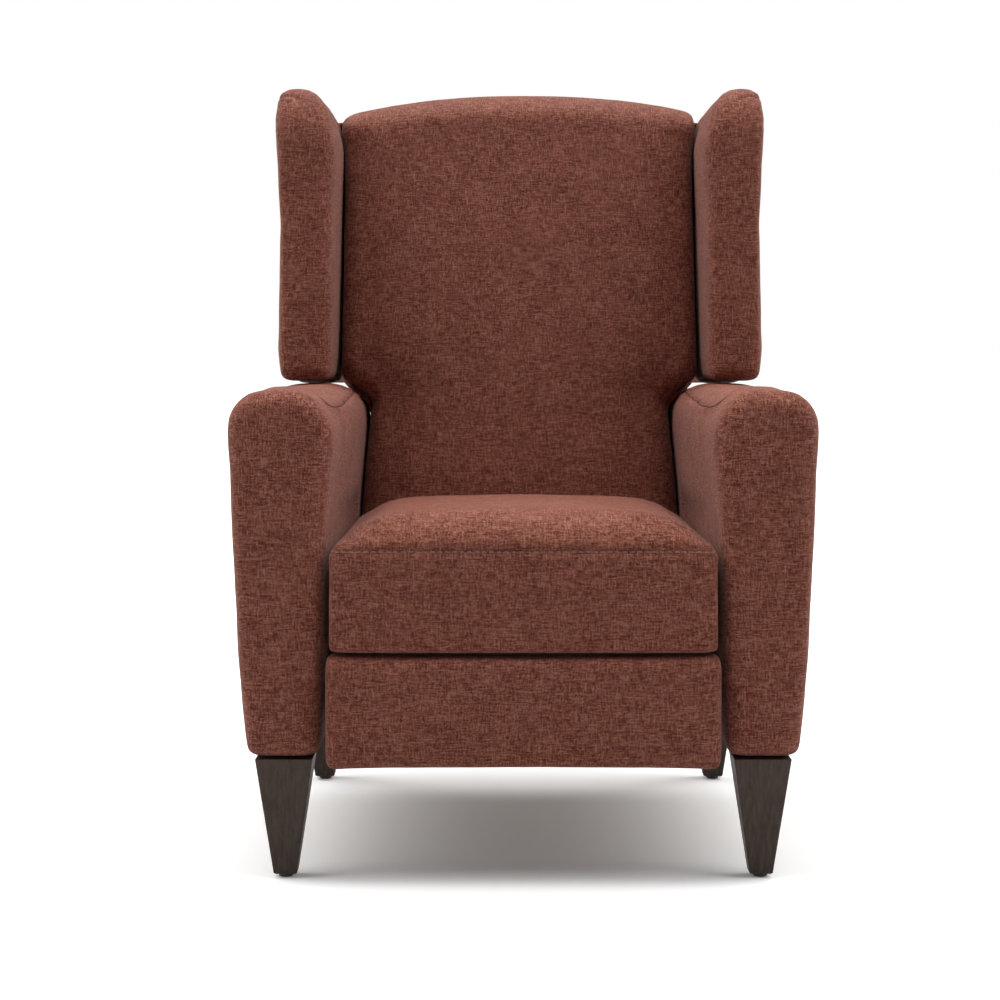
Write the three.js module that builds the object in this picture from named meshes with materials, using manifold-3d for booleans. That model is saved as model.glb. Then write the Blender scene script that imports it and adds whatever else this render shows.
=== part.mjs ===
// Wingback recliner: padded chair with a reclining winged back and a footrest on folding side links.
// Millimetres, +Z up, front towards -Y, origin on the floor under the middle of the chair.
import * as THREE from 'three';
import { mergeVertices } from 'three/addons/utils/BufferGeometryUtils.js';
import Module from 'manifold-3d';

const wasm = await Module();
wasm.setup();

// Overall form and the gaps that are used everywhere
const FRONT = -470;             // front face of the seat and of the closed footrest
const REST_GAP = 0.3;           // between pieces that are fixed to each other
const SLIDE_GAP = 0.5;          // between plates that pass each other
const PIN_PLAY = 0.3;           // radial, pin in its hole
const WELD = 0.5;               // depth by which joined solids run into each other

// Widths: half the back between the arms sets all the others
const BACK_LOW_HALF = 236;
const ARM_CLEARANCE = 5.5;      // back to the roll of the arms
const ARM_WAIST_DRAW = 13;      // inner side of the arm, roll to waist
const ARM_FOOT_DRAW = 20.5;     // inner side of the arm, roll to foot
const ARM_WIDTH = 142.5;
const ARM_TAPER = 29;           // outer side of the arm, roll to foot
const ARM_PADDING = 14;         // cover over the inner side of the arm frame
const ARM_FRAME_WIDTH = 64;
const SEAT_CLEARANCE = 4;       // seat to the waist of the arms
const PANEL_CLEARANCE = 7;      // footrest panel to the foot of the arms
const PLATE_REACH = 13;         // back to the outer face of the side plates
const BACK_HEAD_EXTRA = 43;     // the back is this much wider above the arms, each side
const WING_CLEARANCE = 3;       // back to the wings
const WING_WIDTH = 80;
const WING_PADDING = 24;        // pad over the inner side of the wing frame

// Legs
const LEG_HEIGHT = 157.7;
const LEG_TOP = 74;
const LEG_FOOT = 30;
const LEG_FRONT_Y = -412;
const LEG_REAR_Y = 228;
const GLIDE_HEIGHT = 5;
const GLIDE_RADIUS = 9.5;

// Arms: section corners, run front to rear, and the wooden frame inside
const ARM_BOTTOM = 158;
const ARM_TOP = 634;
const ARM_INNER_TOP = BACK_LOW_HALF + ARM_CLEARANCE;
const ARM_INNER_WAIST = ARM_INNER_TOP + ARM_WAIST_DRAW;
const ARM_INNER_BOTTOM = ARM_INNER_TOP + ARM_FOOT_DRAW;
const ARM_OUTER_TOP = ARM_INNER_TOP + ARM_WIDTH;
const ARM_OUTER_BOTTOM = ARM_OUTER_TOP - ARM_TAPER;
const ARM_WAIST_Z = 465;
const ARM_WAIST_RADIUS = 400;
const ARM_FRONT_Y = -462;
const ARM_REAR_Y = 275;
const ARM_REAR_DROP = 15;
const ARM_OUTER_RADIUS = 50;
const ARM_INNER_RADIUS = 58;
const ARM_LOW_RADIUS = 13;
const ARM_EDGE = 17;
const ARM_FRAME_INNER = ARM_INNER_BOTTOM + ARM_PADDING;
const ARM_FRAME_OUTER = ARM_FRAME_INNER + ARM_FRAME_WIDTH;
const LEG_X = (ARM_FRAME_INNER + ARM_FRAME_OUTER) / 2;
const ARM_FRAME_TOP = 560;
const ARM_FRAME_MARGIN = 42;
const ARM_FRAME_BAR = 48;

// Cross rails between the arms
const RAIL_BOTTOM = 160;
const RAIL_TOP = 186;
const RAIL_WIDTH = 60;
const MID_RAIL_Y = -132;
const REAR_RAIL_Y = 112;

// Seat box, springs and cushion
const SEAT_HALF = ARM_INNER_WAIST - SEAT_CLEARANCE;
const SEAT_FLOOR = 290;
const SEAT_SEAM = 423;
const SEAT_CROWN = 478;
const SEAT_REAR_TOP = 462;
const SEAT_BORDER = 24;
const SEAT_BORDER_ROUND = 19;
const SEAT_RAIL_BOTTOM = 297;
const SEAT_RAIL_TOP = 342;
const SEAT_RAIL_WIDTH = 28;
const SEAT_SIDE_THICK = 22;
const SEAT_REAR_Y = 0;
const SPRING_WIRE = 1.8;
const SPRING_SWING = 21;
const SPRING_PITCH_SHARE = 0.431;   // of half the seat
const SPRING_LANDING = 9;

// Side plates and link layers, counted inwards from the plate
const PLATE = 3;
const PLATE_OUTER = BACK_LOW_HALF + PLATE_REACH;
const PLATE_REAR_Y = 232;
const PLATE_FOOT = 26;
const LINK_HALF = 9;
const PIN_RADIUS = 3.5;
const PIN_HEAD_RADIUS = 6;
const PIN_HEAD = 1.6;
const CROSS_TUBE_RADIUS = 8;
const CROSS_TUBE_REACH = 84;
const GUIDE_PLAY = 0.85;        // radial, open end of the guide link
const CONTROL_PLAY = 1.1;       // radial, open end of the control link

// Link pivots with the footrest closed: distance behind the front face, height
const PIVOTS = {
  mainSeat: [130, 283.6],
  mainEnd: [314.5, 174.6],
  guideSeat: [95.7, 283],
  guideEnd: [279.6, 173.2],
  guideHorn: [298.8, 194.3],
  reachFront: [61.3, 240.2],
  controlFront: [110.5, 265.2],
};

// Footrest panel
const PANEL_HALF = ARM_INNER_BOTTOM - PANEL_CLEARANCE;
const PANEL_BOTTOM = 146;
const PANEL_TOP = 286.5;
const PANEL_DEPTH = 46;
const PANEL_BOARD = 15;
const PANEL_BOARD_MARGIN = 11;
const PANEL_EDGE = 12;
const BRACKET_FLANGE = 30;
const BRACKET_HALF_HEIGHT = 28;

// Back: pivot, lean, and depths from the pivot plane (negative towards the front)
const BACK_PIVOT_Y = 200;
const BACK_PIVOT_Z = 300;
const BACK_LEAN = 16.5 * Math.PI / 180;
const BACK_PIN_RADIUS = 6;
const BACK_REAR = 36;
const BACK_SKIN = 8;
const BACK_SPLIT = -24;
const BACK_POST_FRONT = -52;
const BACK_POST_REAR = 27.4;
const BACK_POST_WIDTH = 30;
const BACK_FOOT = -10;
const BACK_CUSHION_REAR = -54.6;
const BACK_LUMBAR = -193;
const BACK_HEAD = -160;
const BACK_TOP = 834;
const BACK_HIGH_HALF = BACK_LOW_HALF + BACK_HEAD_EXTRA;
const BACK_RAIL_HEIGHT = 44;
const BACK_STEP = 348.5;
const STRAP_WIDTH = 50;
const STRAP_THICK = 1.8;
const BRACKET_RISE = 170;
const BRACKET_WIDTH = 46;

// Wings
const WING_FLOOR = 641;
const WING_FRONT_LOW = -12;
const WING_FRONT_HIGH = 40;
const WING_TOP = 1089;
const WING_INNER = BACK_HIGH_HALF + WING_CLEARANCE;
const WING_OUTER = WING_INNER + WING_WIDTH;
const WING_FLARE = 9;
const WING_EDGE = 18;
const WING_SHOULDER = 58;
const WING_SHOULDER_FALL = 40;
const WING_FRAME_THICK = 18;
const WING_FRAME_INNER = WING_INNER + WING_PADDING;
const WING_FRAME_MARGIN = 36;

// Finishes
const finish = (colour, roughness, metalness = 0) =>
  new THREE.MeshStandardMaterial({ color: colour, roughness, metalness });
const CLOTH = () => finish(0x9c4434, 0.95);
const DARK_WOOD = () => finish(0x2b1c15, 0.45);
const PALE_WOOD = () => finish(0xc9a877, 0.75);
const NYLON = () => finish(0x151515, 0.5);
const BLACK_STEEL = () => finish(0x1d1e20, 0.45, 0.8);
const SPRING_STEEL = () => finish(0x8b8d8f, 0.35, 0.9);
const WEBBING = () => finish(0x3a3a3c, 0.9);

const group = new THREE.Group();
group.name = 'wingback_recliner';

/** Adds one named sub-part. */
function piece(name, geometry, material) {
  const mesh = new THREE.Mesh(geometry, material);
  mesh.name = name;
  group.add(mesh);
}

// Solids

/** A solid for joining and cutting, from a closed geometry. */
function solid(geometry) {
  const bare = new THREE.BufferGeometry();
  bare.setAttribute('position', geometry.getAttribute('position').clone());
  if (geometry.index) bare.setIndex(geometry.index.clone());
  const merged = mergeVertices(bare, 1e-4);
  return new wasm.Manifold(new wasm.Mesh({
    numProp: 3,
    vertProperties: new Float32Array(merged.getAttribute('position').array),
    triVerts: new Uint32Array(merged.index.array),
  }));
}

/** Geometry of a joined or cut solid, with flat faces. */
function shape(body) {
  const mesh = body.getMesh();
  const geometry = new THREE.BufferGeometry();
  const stride = mesh.numProp;
  const count = mesh.vertProperties.length / stride;
  const positions = new Float32Array(count * 3);
  for (let i = 0; i < count; i += 1) {
    for (let k = 0; k < 3; k += 1) positions[i * 3 + k] = mesh.vertProperties[i * stride + k];
  }
  geometry.setAttribute('position', new THREE.BufferAttribute(positions, 3));
  geometry.setIndex(Array.from(mesh.triVerts));
  const flat = geometry.toNonIndexed();
  flat.computeVertexNormals();
  return flat;
}

const join = (first, ...rest) => rest.reduce((sum, one) => sum.add(one), first);
const cut = (first, ...rest) => rest.reduce((sum, one) => sum.subtract(one), first);

/** Block between two opposite corners. */
function block(x0, x1, y0, y1, z0, z1) {
  const geometry = new THREE.BoxGeometry(x1 - x0, y1 - y0, z1 - z0);
  geometry.translate((x0 + x1) / 2, (y0 + y1) / 2, (z0 + z1) / 2);
  return solid(geometry);
}

/** Outline in the side view (y, z) pulled along X from x0 to x1. */
function sidePrism(points, x0, x1) {
  const outline = new THREE.Shape(points.map(([y, z]) => new THREE.Vector2(y, z)));
  const geometry = new THREE.ExtrudeGeometry(outline, { depth: x1 - x0, bevelEnabled: false });
  const swap = new THREE.Matrix4().set(0, 0, 1, x0, 1, 0, 0, 0, 0, 1, 0, 0, 0, 0, 0, 1);
  return solid(geometry.applyMatrix4(swap));
}

/** Round bar along X. */
function barX([y, z], x0, x1, radius, sides = 12) {
  const geometry = new THREE.CylinderGeometry(radius, radius, Math.abs(x1 - x0), sides);
  geometry.rotateZ(Math.PI / 2);
  geometry.translate((x0 + x1) / 2, y, z);
  return solid(geometry);
}

/** Slot-shaped outline around two points of the side view. */
function stadium([ya, za], [yb, zb], radius, steps = 6) {
  const heading = Math.atan2(zb - za, yb - ya);
  const ends = [[ya, za, heading + Math.PI / 2], [yb, zb, heading - Math.PI / 2]];
  return ends.flatMap(([y, z, start]) => Array.from({ length: steps + 1 }, (_, i) => {
    const angle = start + Math.PI * i / steps;
    return [y + radius * Math.cos(angle), z + radius * Math.sin(angle)];
  }));
}

/** The same solid on the other side of the chair. */
const mirrored = (body) => body.mirror([1, 0, 0]);

/** Adds a right and a left copy of a solid that is built on the +X side. */
function pair(name, body, material) {
  piece(`${name}_right`, shape(body), material());
  piece(`${name}_left`, shape(mirrored(body)), material());
}

/** Skin over rings of equal length, closed by a fan at each end; rings turn outwards. */
function skin(rings) {
  const size = rings[0].length;
  const positions = rings.flat(2);
  const faces = [];
  for (let r = 0; r + 1 < rings.length; r += 1) {
    for (let i = 0; i < size; i += 1) {
      const a = r * size + i;
      const b = r * size + (i + 1) % size;
      faces.push(a, b, b + size, a, b + size, a + size);
    }
  }
  for (const [start, flip] of [[0, true], [(rings.length - 1) * size, false]]) {
    const ring = rings[start / size];
    const middle = ring.reduce((sum, p) => sum.map((v, k) => v + p[k] / size), [0, 0, 0]);
    const hub = positions.length / 3;
    positions.push(...middle);
    for (let i = 0; i < size; i += 1) {
      const j = (i + 1) % size;
      faces.push(...(flip ? [hub, start + j, start + i] : [hub, start + i, start + j]));
    }
  }
  const geometry = new THREE.BufferGeometry();
  geometry.setAttribute('position', new THREE.Float32BufferAttribute(positions, 3));
  geometry.setIndex(faces);
  const body = solid(geometry);
  if (body.volume() > 0) return body;
  geometry.setIndex(faces.map((_, i) => faces[i - (i % 3) + 2 - (i % 3)]));
  return solid(geometry);
}

/** Polygon with each corner rounded by its own radius: corners are [u, v, radius]. */
function rounded(corners, steps = 4) {
  const count = corners.length;
  return corners.flatMap(([u, v, radius], i) => {
    const [pu, pv] = corners[(i + count - 1) % count];
    const [nu, nv] = corners[(i + 1) % count];
    const before = new THREE.Vector2(pu - u, pv - v).normalize();
    const after = new THREE.Vector2(nu - u, nv - v).normalize();
    const half = Math.acos(THREE.MathUtils.clamp(before.dot(after), -1, 1)) / 2;
    const reach = radius / Math.tan(half);
    const centre = before.clone().add(after).normalize().multiplyScalar(radius / Math.sin(half));
    const from = before.clone().multiplyScalar(reach).sub(centre);
    const to = after.clone().multiplyScalar(reach).sub(centre);
    let turn = to.angle() - from.angle();
    if (turn > Math.PI) turn -= 2 * Math.PI;
    if (turn < -Math.PI) turn += 2 * Math.PI;
    return Array.from({ length: steps + 1 }, (_, k) => {
      const spoke = from.clone().rotateAround(new THREE.Vector2(), turn * k / steps);
      return [u + centre.x + spoke.x, v + centre.y + spoke.y];
    });
  });
}

const lerp = (a, b, t) => a + (b - a) * t;

/** Ring drawn in towards its middle by a distance, for rounded ends. */
function drawnIn(ring, distance) {
  const low = [Infinity, Infinity];
  const high = [-Infinity, -Infinity];
  for (const p of ring) {
    for (const k of [0, 1]) {
      low[k] = Math.min(low[k], p[k]);
      high[k] = Math.max(high[k], p[k]);
    }
  }
  return ring.map((p) => p.map((v, k) => {
    const middle = (low[k] + high[k]) / 2;
    return middle + (v - middle) * (1 - 2 * distance / (high[k] - low[k]));
  }));
}

/** Stations of a rounded end: [position shares along the radius, drawn-in share]. */
const END_SHARES = [[0, 1], [0.12, 0.55], [0.4, 0.2], [1, 0]];

// Legs and glides

for (const [where, y] of [['front', LEG_FRONT_Y], ['rear', LEG_REAR_Y]]) {
  const square = (half, z) => [[-1, -1], [1, -1], [1, 1], [-1, 1]]
    .map(([u, v]) => [LEG_X + u * half, y + v * half, z]);
  const leg = skin([square(LEG_FOOT / 2, GLIDE_HEIGHT), square(LEG_TOP / 2, LEG_HEIGHT)]);
  pair(`leg_${where}`, leg, DARK_WOOD);
  const glide = new THREE.CylinderGeometry(GLIDE_RADIUS, GLIDE_RADIUS, GLIDE_HEIGHT - REST_GAP, 20);
  glide.rotateX(Math.PI / 2);
  glide.translate(LEG_X, y, (GLIDE_HEIGHT - REST_GAP) / 2);
  pair(`glide_${where}`, solid(glide), NYLON);
}

// Arms

const armSection = rounded([
  [ARM_INNER_BOTTOM, ARM_BOTTOM, ARM_LOW_RADIUS],
  [ARM_OUTER_BOTTOM, ARM_BOTTOM, ARM_LOW_RADIUS],
  [ARM_OUTER_TOP, ARM_TOP, ARM_OUTER_RADIUS],
  [ARM_INNER_TOP, ARM_TOP, ARM_INNER_RADIUS],
  [ARM_INNER_WAIST, ARM_WAIST_Z, ARM_WAIST_RADIUS],
], 6);

/** Share of the way from one value to another, held between 0 and 1. */
const portion = (value, from, to) => THREE.MathUtils.clamp((value - from) / (to - from), 0, 1);

/** Arm ring at a depth: the top is level and falls near the rear, below the wing. */
function armRing(y, inset) {
  const fall = ARM_REAR_DROP * portion(y, lerp(ARM_FRONT_Y, ARM_REAR_Y, 0.72), ARM_REAR_Y) ** 2;
  return drawnIn(armSection, inset)
    .map(([x, z]) => [x, y, z - fall * portion(z, ARM_BOTTOM, ARM_TOP)]);
}

const armRings = [
  ...END_SHARES.map(([along, inset]) => armRing(ARM_FRONT_Y + along * ARM_EDGE, inset * ARM_EDGE)),
  ...[0.72, 0.84].map((share) => armRing(lerp(ARM_FRONT_Y, ARM_REAR_Y, share), 0)),
  ...END_SHARES.slice().reverse().map(([along, inset]) =>
    armRing(ARM_REAR_Y - along * ARM_EDGE, inset * ARM_EDGE)),
];
const frameFront = ARM_FRONT_Y + ARM_FRAME_MARGIN;
const frameRear = ARM_REAR_Y - ARM_FRAME_MARGIN;
const armFrame = cut(
  block(ARM_FRAME_INNER, ARM_FRAME_OUTER, frameFront, frameRear, ARM_BOTTOM, ARM_FRAME_TOP),
  block(ARM_FRAME_INNER - WELD, ARM_FRAME_OUTER + WELD, frameFront + ARM_FRAME_BAR,
    frameRear - ARM_FRAME_BAR, ARM_BOTTOM + ARM_FRAME_BAR, ARM_FRAME_TOP - ARM_FRAME_BAR));
const armPocket = block(ARM_FRAME_INNER - REST_GAP, ARM_FRAME_OUTER + REST_GAP,
  frameFront - REST_GAP, frameRear + REST_GAP, ARM_BOTTOM - WELD, ARM_FRAME_TOP + REST_GAP);
const crossRails = [['mid_cross_rail', MID_RAIL_Y], ['rear_cross_rail', REAR_RAIL_Y]];
/** The cross rails reach through the covers to the arm frames. */
const railNotches = crossRails.map(([, y]) => block(ARM_INNER_TOP, ARM_FRAME_INNER, y - REST_GAP,
  y + RAIL_WIDTH + REST_GAP, ARM_BOTTOM - WELD, RAIL_TOP + REST_GAP));
pair('arm_frame', armFrame, PALE_WOOD);
pair('arm_cover', cut(skin(armRings), armPocket, ...railNotches), CLOTH);
const crossHalf = ARM_FRAME_INNER - REST_GAP;
for (const [name, y] of crossRails) {
  const rail = block(-crossHalf, crossHalf, y, y + RAIL_WIDTH, RAIL_BOTTOM, RAIL_TOP);
  piece(name, shape(rail), PALE_WOOD());
}

// Side plates: carry the footrest links and the back

/** Depth of a link pivot in the chair. */
const spot = (name) => [FRONT + PIVOTS[name][0], PIVOTS[name][1]];
const plateInner = PLATE_OUTER - PLATE;
const layerPitch = PLATE + SLIDE_GAP;
/** Outer and inner face of a link layer, 1 next to the plate. */
const layer = (n) => [plateInner - layerPitch * n, plateInner - layerPitch * n + PLATE];
const BRACKET_LAYER = 1;
const CONTROL_LAYER = 2;
const GUIDE_LAYER = 3;
const MAIN_LAYER = 4;
const REACH_LAYER = 5;
const backPivot = [BACK_PIVOT_Y, BACK_PIVOT_Z];
const plateBottom = RAIL_TOP + REST_GAP;
const [guideSeatY] = spot('guideSeat');

const plateOutline = [
  [MID_RAIL_Y, plateBottom],
  [PLATE_REAR_Y - ARM_FRAME_MARGIN, plateBottom],
  [PLATE_REAR_Y, plateBottom + ARM_FRAME_MARGIN],
  [PLATE_REAR_Y, BACK_PIVOT_Z + BACK_REAR],
  [SEAT_REAR_Y + ARM_FRAME_BAR, SEAT_RAIL_TOP],
  [guideSeatY - LINK_HALF, SEAT_RAIL_TOP],
  [guideSeatY - LINK_HALF - PLATE, SEAT_RAIL_TOP - ARM_EDGE],
  [guideSeatY - LINK_HALF - PLATE, SEAT_RAIL_BOTTOM - LEG_FOOT],
  [MID_RAIL_Y - RAIL_WIDTH, SEAT_RAIL_BOTTOM - LEG_FOOT],
];
const plateFeet = [MID_RAIL_Y, REAR_RAIL_Y].map((y) =>
  block(PLATE_OUTER - PLATE_FOOT, PLATE_OUTER - WELD, y, y + RAIL_WIDTH, plateBottom, plateBottom + PLATE));
const mainPinEnd = layer(MAIN_LAYER)[0];
const backBracketOuter = BACK_LOW_HALF + REST_GAP + PLATE;
pair('side_plate', join(
  sidePrism(plateOutline, plateInner, PLATE_OUTER),
  ...plateFeet,
  barX(spot('mainSeat'), mainPinEnd - REST_GAP, plateInner + WELD, PIN_RADIUS),
  barX(spot('mainSeat'), mainPinEnd - REST_GAP - PIN_HEAD, mainPinEnd - REST_GAP, PIN_HEAD_RADIUS),
  barX(spot('guideSeat'), layer(GUIDE_LAYER)[0], plateInner + WELD, PIN_RADIUS),
  barX(backPivot, BACK_LOW_HALF + REST_GAP, plateInner + WELD, BACK_PIN_RADIUS, 16),
  barX(backPivot, backBracketOuter + REST_GAP, plateInner + WELD, BACK_PIN_RADIUS + PIN_RADIUS, 16),
), BLACK_STEEL);

// Footrest links

/** Flat link through the named pivots, cut by the listed holes ([pivot, radius]). */
function link(level, names, holes) {
  const [x0, x1] = layer(level);
  const bars = names.slice(1).map((name, i) =>
    sidePrism(stadium(spot(names[i]), spot(name), LINK_HALF), x0, x1));
  const drills = holes.map(([name, radius]) => barX(spot(name), x0 - WELD, x1 + WELD, radius));
  return cut(join(...bars), ...drills);
}

/** Pin from a link layer through another; it ends flush or in a head beyond the inner layer. */
function pin(name, ownLevel, otherLevel, headed = false) {
  const own = layer(ownLevel);
  const other = layer(otherLevel);
  if (otherLevel < ownLevel) return [barX(spot(name), own[1] - WELD, other[1], PIN_RADIUS)];
  if (!headed) return [barX(spot(name), other[0], own[0] + WELD, PIN_RADIUS)];
  const face = other[0] - REST_GAP;
  return [
    barX(spot(name), face, own[0] + WELD, PIN_RADIUS),
    barX(spot(name), face - PIN_HEAD, face, PIN_HEAD_RADIUS),
  ];
}

const hole = PIN_RADIUS + PIN_PLAY;
pair('main_link', join(
  link(MAIN_LAYER, ['mainSeat', 'mainEnd'], [['mainSeat', hole]]),
  ...pin('mainEnd', MAIN_LAYER, REACH_LAYER, true)), BLACK_STEEL);
pair('guide_link', join(
  link(GUIDE_LAYER, ['guideSeat', 'guideEnd', 'guideHorn'], [['guideSeat', hole]]),
  ...pin('guideEnd', GUIDE_LAYER, REACH_LAYER, true),
  ...pin('guideHorn', GUIDE_LAYER, CONTROL_LAYER)), BLACK_STEEL);
pair('reach_link', link(REACH_LAYER, ['mainEnd', 'guideEnd', 'reachFront'],
  [['mainEnd', hole], ['guideEnd', PIN_RADIUS + GUIDE_PLAY], ['reachFront', hole]]), BLACK_STEEL);
pair('control_link', link(CONTROL_LAYER, ['guideHorn', 'controlFront'],
  [['guideHorn', hole], ['controlFront', PIN_RADIUS + CONTROL_PLAY]]), BLACK_STEEL);

// Tube that ties the two main links
const [seatPivotY, seatPivotZ] = spot('mainSeat');
const [mainEndY, mainEndZ] = spot('mainEnd');
const mainHeading = Math.atan2(mainEndZ - seatPivotZ, mainEndY - seatPivotY);
const tubeSpot = [
  seatPivotY + CROSS_TUBE_REACH * Math.cos(mainHeading),
  seatPivotZ + CROSS_TUBE_REACH * Math.sin(mainHeading),
];
const tubeHalf = layer(MAIN_LAYER)[0] - REST_GAP;
piece('link_cross_tube', shape(barX(tubeSpot, -tubeHalf, tubeHalf, CROSS_TUBE_RADIUS, 16)), BLACK_STEEL());

// Footrest: brackets, board and padded panel

const boardRear = FRONT + PANEL_DEPTH;
const boardFront = boardRear - PANEL_BOARD;
const [reachY, reachZ] = spot('reachFront');
const [bracketInner, bracketOuter] = layer(BRACKET_LAYER);
const flangeRear = boardRear + REST_GAP + PLATE;
const bracketPlate = join(
  sidePrism(stadium(spot('reachFront'), spot('controlFront'), LINK_HALF), bracketInner, bracketOuter),
  block(bracketInner, bracketOuter, boardRear + REST_GAP, reachY + LINK_HALF / 2,
    reachZ - BRACKET_HALF_HEIGHT, reachZ + LINK_HALF),
  block(bracketOuter - BRACKET_FLANGE, bracketOuter, boardRear + REST_GAP, flangeRear,
    reachZ - BRACKET_HALF_HEIGHT, reachZ + BRACKET_HALF_HEIGHT));
pair('footrest_bracket', join(
  bracketPlate,
  ...pin('reachFront', BRACKET_LAYER, REACH_LAYER, true),
  ...pin('controlFront', BRACKET_LAYER, CONTROL_LAYER)), BLACK_STEEL);

const boardHalf = PANEL_HALF - PANEL_BOARD_MARGIN;
const boardLow = PANEL_BOTTOM + PANEL_BOARD_MARGIN;
const boardHigh = PANEL_TOP - PANEL_BOARD_MARGIN;
const board = block(-boardHalf, boardHalf, boardFront, boardRear, boardLow, boardHigh);
piece('footrest_board', shape(board), PALE_WOOD());
const panelSection = rounded([
  [FRONT, PANEL_BOTTOM, PANEL_EDGE],
  [boardRear, PANEL_BOTTOM, PANEL_EDGE / 2],
  [boardRear, PANEL_TOP, PANEL_EDGE / 2],
  [FRONT, PANEL_TOP, PANEL_EDGE],
]);
const panelStation = (x, inset) => drawnIn(panelSection, inset)
  .map(([y, z]) => [x, y + inset * (y > boardFront ? 1 : 0), z]);
const panelPad = cut(
  skin([
    ...END_SHARES.map(([along, inset]) =>
      panelStation(-PANEL_HALF + along * PANEL_EDGE, inset * PANEL_EDGE / 2)),
    ...END_SHARES.slice().reverse().map(([along, inset]) =>
      panelStation(PANEL_HALF - along * PANEL_EDGE, inset * PANEL_EDGE / 2)),
  ]),
  block(-boardHalf - REST_GAP, boardHalf + REST_GAP, boardFront - REST_GAP, boardRear + PANEL_EDGE,
    boardLow - REST_GAP, boardHigh + REST_GAP));
piece('footrest_pad', shape(panelPad), CLOTH());

// Seat box, springs and cushion

const borderRear = FRONT + SEAT_BORDER;
const railFront = borderRear + REST_GAP;
const sideOuter = plateInner - REST_GAP;
const sideInner = sideOuter - SEAT_SIDE_THICK;
pair('seat_side_rail', block(sideInner, sideOuter, railFront, SEAT_REAR_Y,
  SEAT_RAIL_BOTTOM, SEAT_RAIL_TOP), PALE_WOOD);
const railHalf = sideInner - REST_GAP;
for (const [name, y] of [['seat_front_rail', railFront], ['seat_rear_rail', SEAT_REAR_Y - SEAT_RAIL_WIDTH]]) {
  const rail = block(-railHalf, railHalf, y, y + SEAT_RAIL_WIDTH, SEAT_RAIL_BOTTOM, SEAT_RAIL_TOP);
  piece(name, shape(rail), PALE_WOOD());
}

/** Zigzag seat spring, front rail to rear rail, at a distance from the middle. */
function zigzag(x) {
  const z = SEAT_RAIL_TOP + REST_GAP + SPRING_WIRE;
  const start = railFront + SPRING_LANDING;
  const end = SEAT_REAR_Y - SPRING_LANDING;
  const bends = 15;
  const points = Array.from({ length: bends + 1 }, (_, i) => {
    const side = i === 0 || i === bends ? 0 : (i % 2 ? 1 : -1);
    return new THREE.Vector3(x + side * SPRING_SWING, lerp(start, end, i / bends), z);
  });
  const path = new THREE.CatmullRomCurve3(points, false, 'centripetal');
  const wire = new THREE.Shape();
  const sides = 4;
  for (let i = 0; i < sides; i += 1) {
    const angle = Math.PI * (2 * i + 1) / sides;
    const corner = [SPRING_WIRE * Math.cos(angle), SPRING_WIRE * Math.sin(angle)];
    if (i) wire.lineTo(...corner);
    else wire.moveTo(...corner);
  }
  return solid(new THREE.ExtrudeGeometry(wire, { extrudePath: path, steps: bends * 3, bevelEnabled: false }));
}

for (const [i, place] of [-1.5, -0.5, 0.5, 1.5].entries()) {
  piece(`seat_spring_${i + 1}`, shape(zigzag(place * SPRING_PITCH_SHARE * SEAT_HALF)), SPRING_STEEL());
}

const backY = (depth, rise) => BACK_PIVOT_Y + depth * Math.cos(BACK_LEAN) + rise * Math.sin(BACK_LEAN);
const backZ = (depth, rise) => BACK_PIVOT_Z - depth * Math.sin(BACK_LEAN) + rise * Math.cos(BACK_LEAN);
/** Depth in the chair of a plane of the back, at a height. */
const backPlaneY = (depth, z) => {
  const rise = (z - BACK_PIVOT_Z + depth * Math.sin(BACK_LEAN)) / Math.cos(BACK_LEAN);
  return backY(depth, rise);
};

const crownY = lerp(FRONT, SEAT_REAR_Y, 0.45);
const cushionFloor = SEAT_RAIL_TOP + 2 * SPRING_WIRE + 2 * REST_GAP;
const seatRearPlane = BACK_LUMBAR - SPRING_LANDING;
const seatRear = (z) => backPlaneY(seatRearPlane, z);
const foldZ = SEAT_SEAM + SEAT_BORDER;
const borderTop = lerp(foldZ, SEAT_CROWN, portion(borderRear, FRONT, crownY));
/** Side view of the padded border in front of the seat box. */
const borderSection = rounded([
  [FRONT, SEAT_FLOOR, PLATE],
  [borderRear, SEAT_FLOOR, PLATE],
  [borderRear, borderTop, PLATE],
  [FRONT, foldZ, SEAT_BORDER_ROUND],
], 3);
/** Side view of the seat cushion on the springs, crowned on top. */
const seatSection = rounded([
  [borderRear + REST_GAP, cushionFloor, PLATE],
  [seatRear(cushionFloor) - SEAT_BORDER / 2, cushionFloor, SEAT_BORDER / 4],
  [seatRear(SEAT_REAR_TOP), SEAT_REAR_TOP, SEAT_BORDER],
  [crownY, SEAT_CROWN, SEAT_CROWN],
  [borderRear + REST_GAP, borderTop, PLATE],
], 3);
/** Crown share across the seat, full in the middle and low at the sides. */
const crownShare = (u) => 1 - 0.75 * Math.abs(u) ** 3;
const seatStations = [-1, -0.985, -0.95, -0.86, -0.6, -0.25, 0.25, 0.6, 0.86, 0.95, 0.985, 1];
const seatInsets = [1, 0.45, 0.1, 0, 0, 0, 0, 0, 0, 0.1, 0.45, 1];
const sideDraw = SEAT_BORDER / 3;
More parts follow.
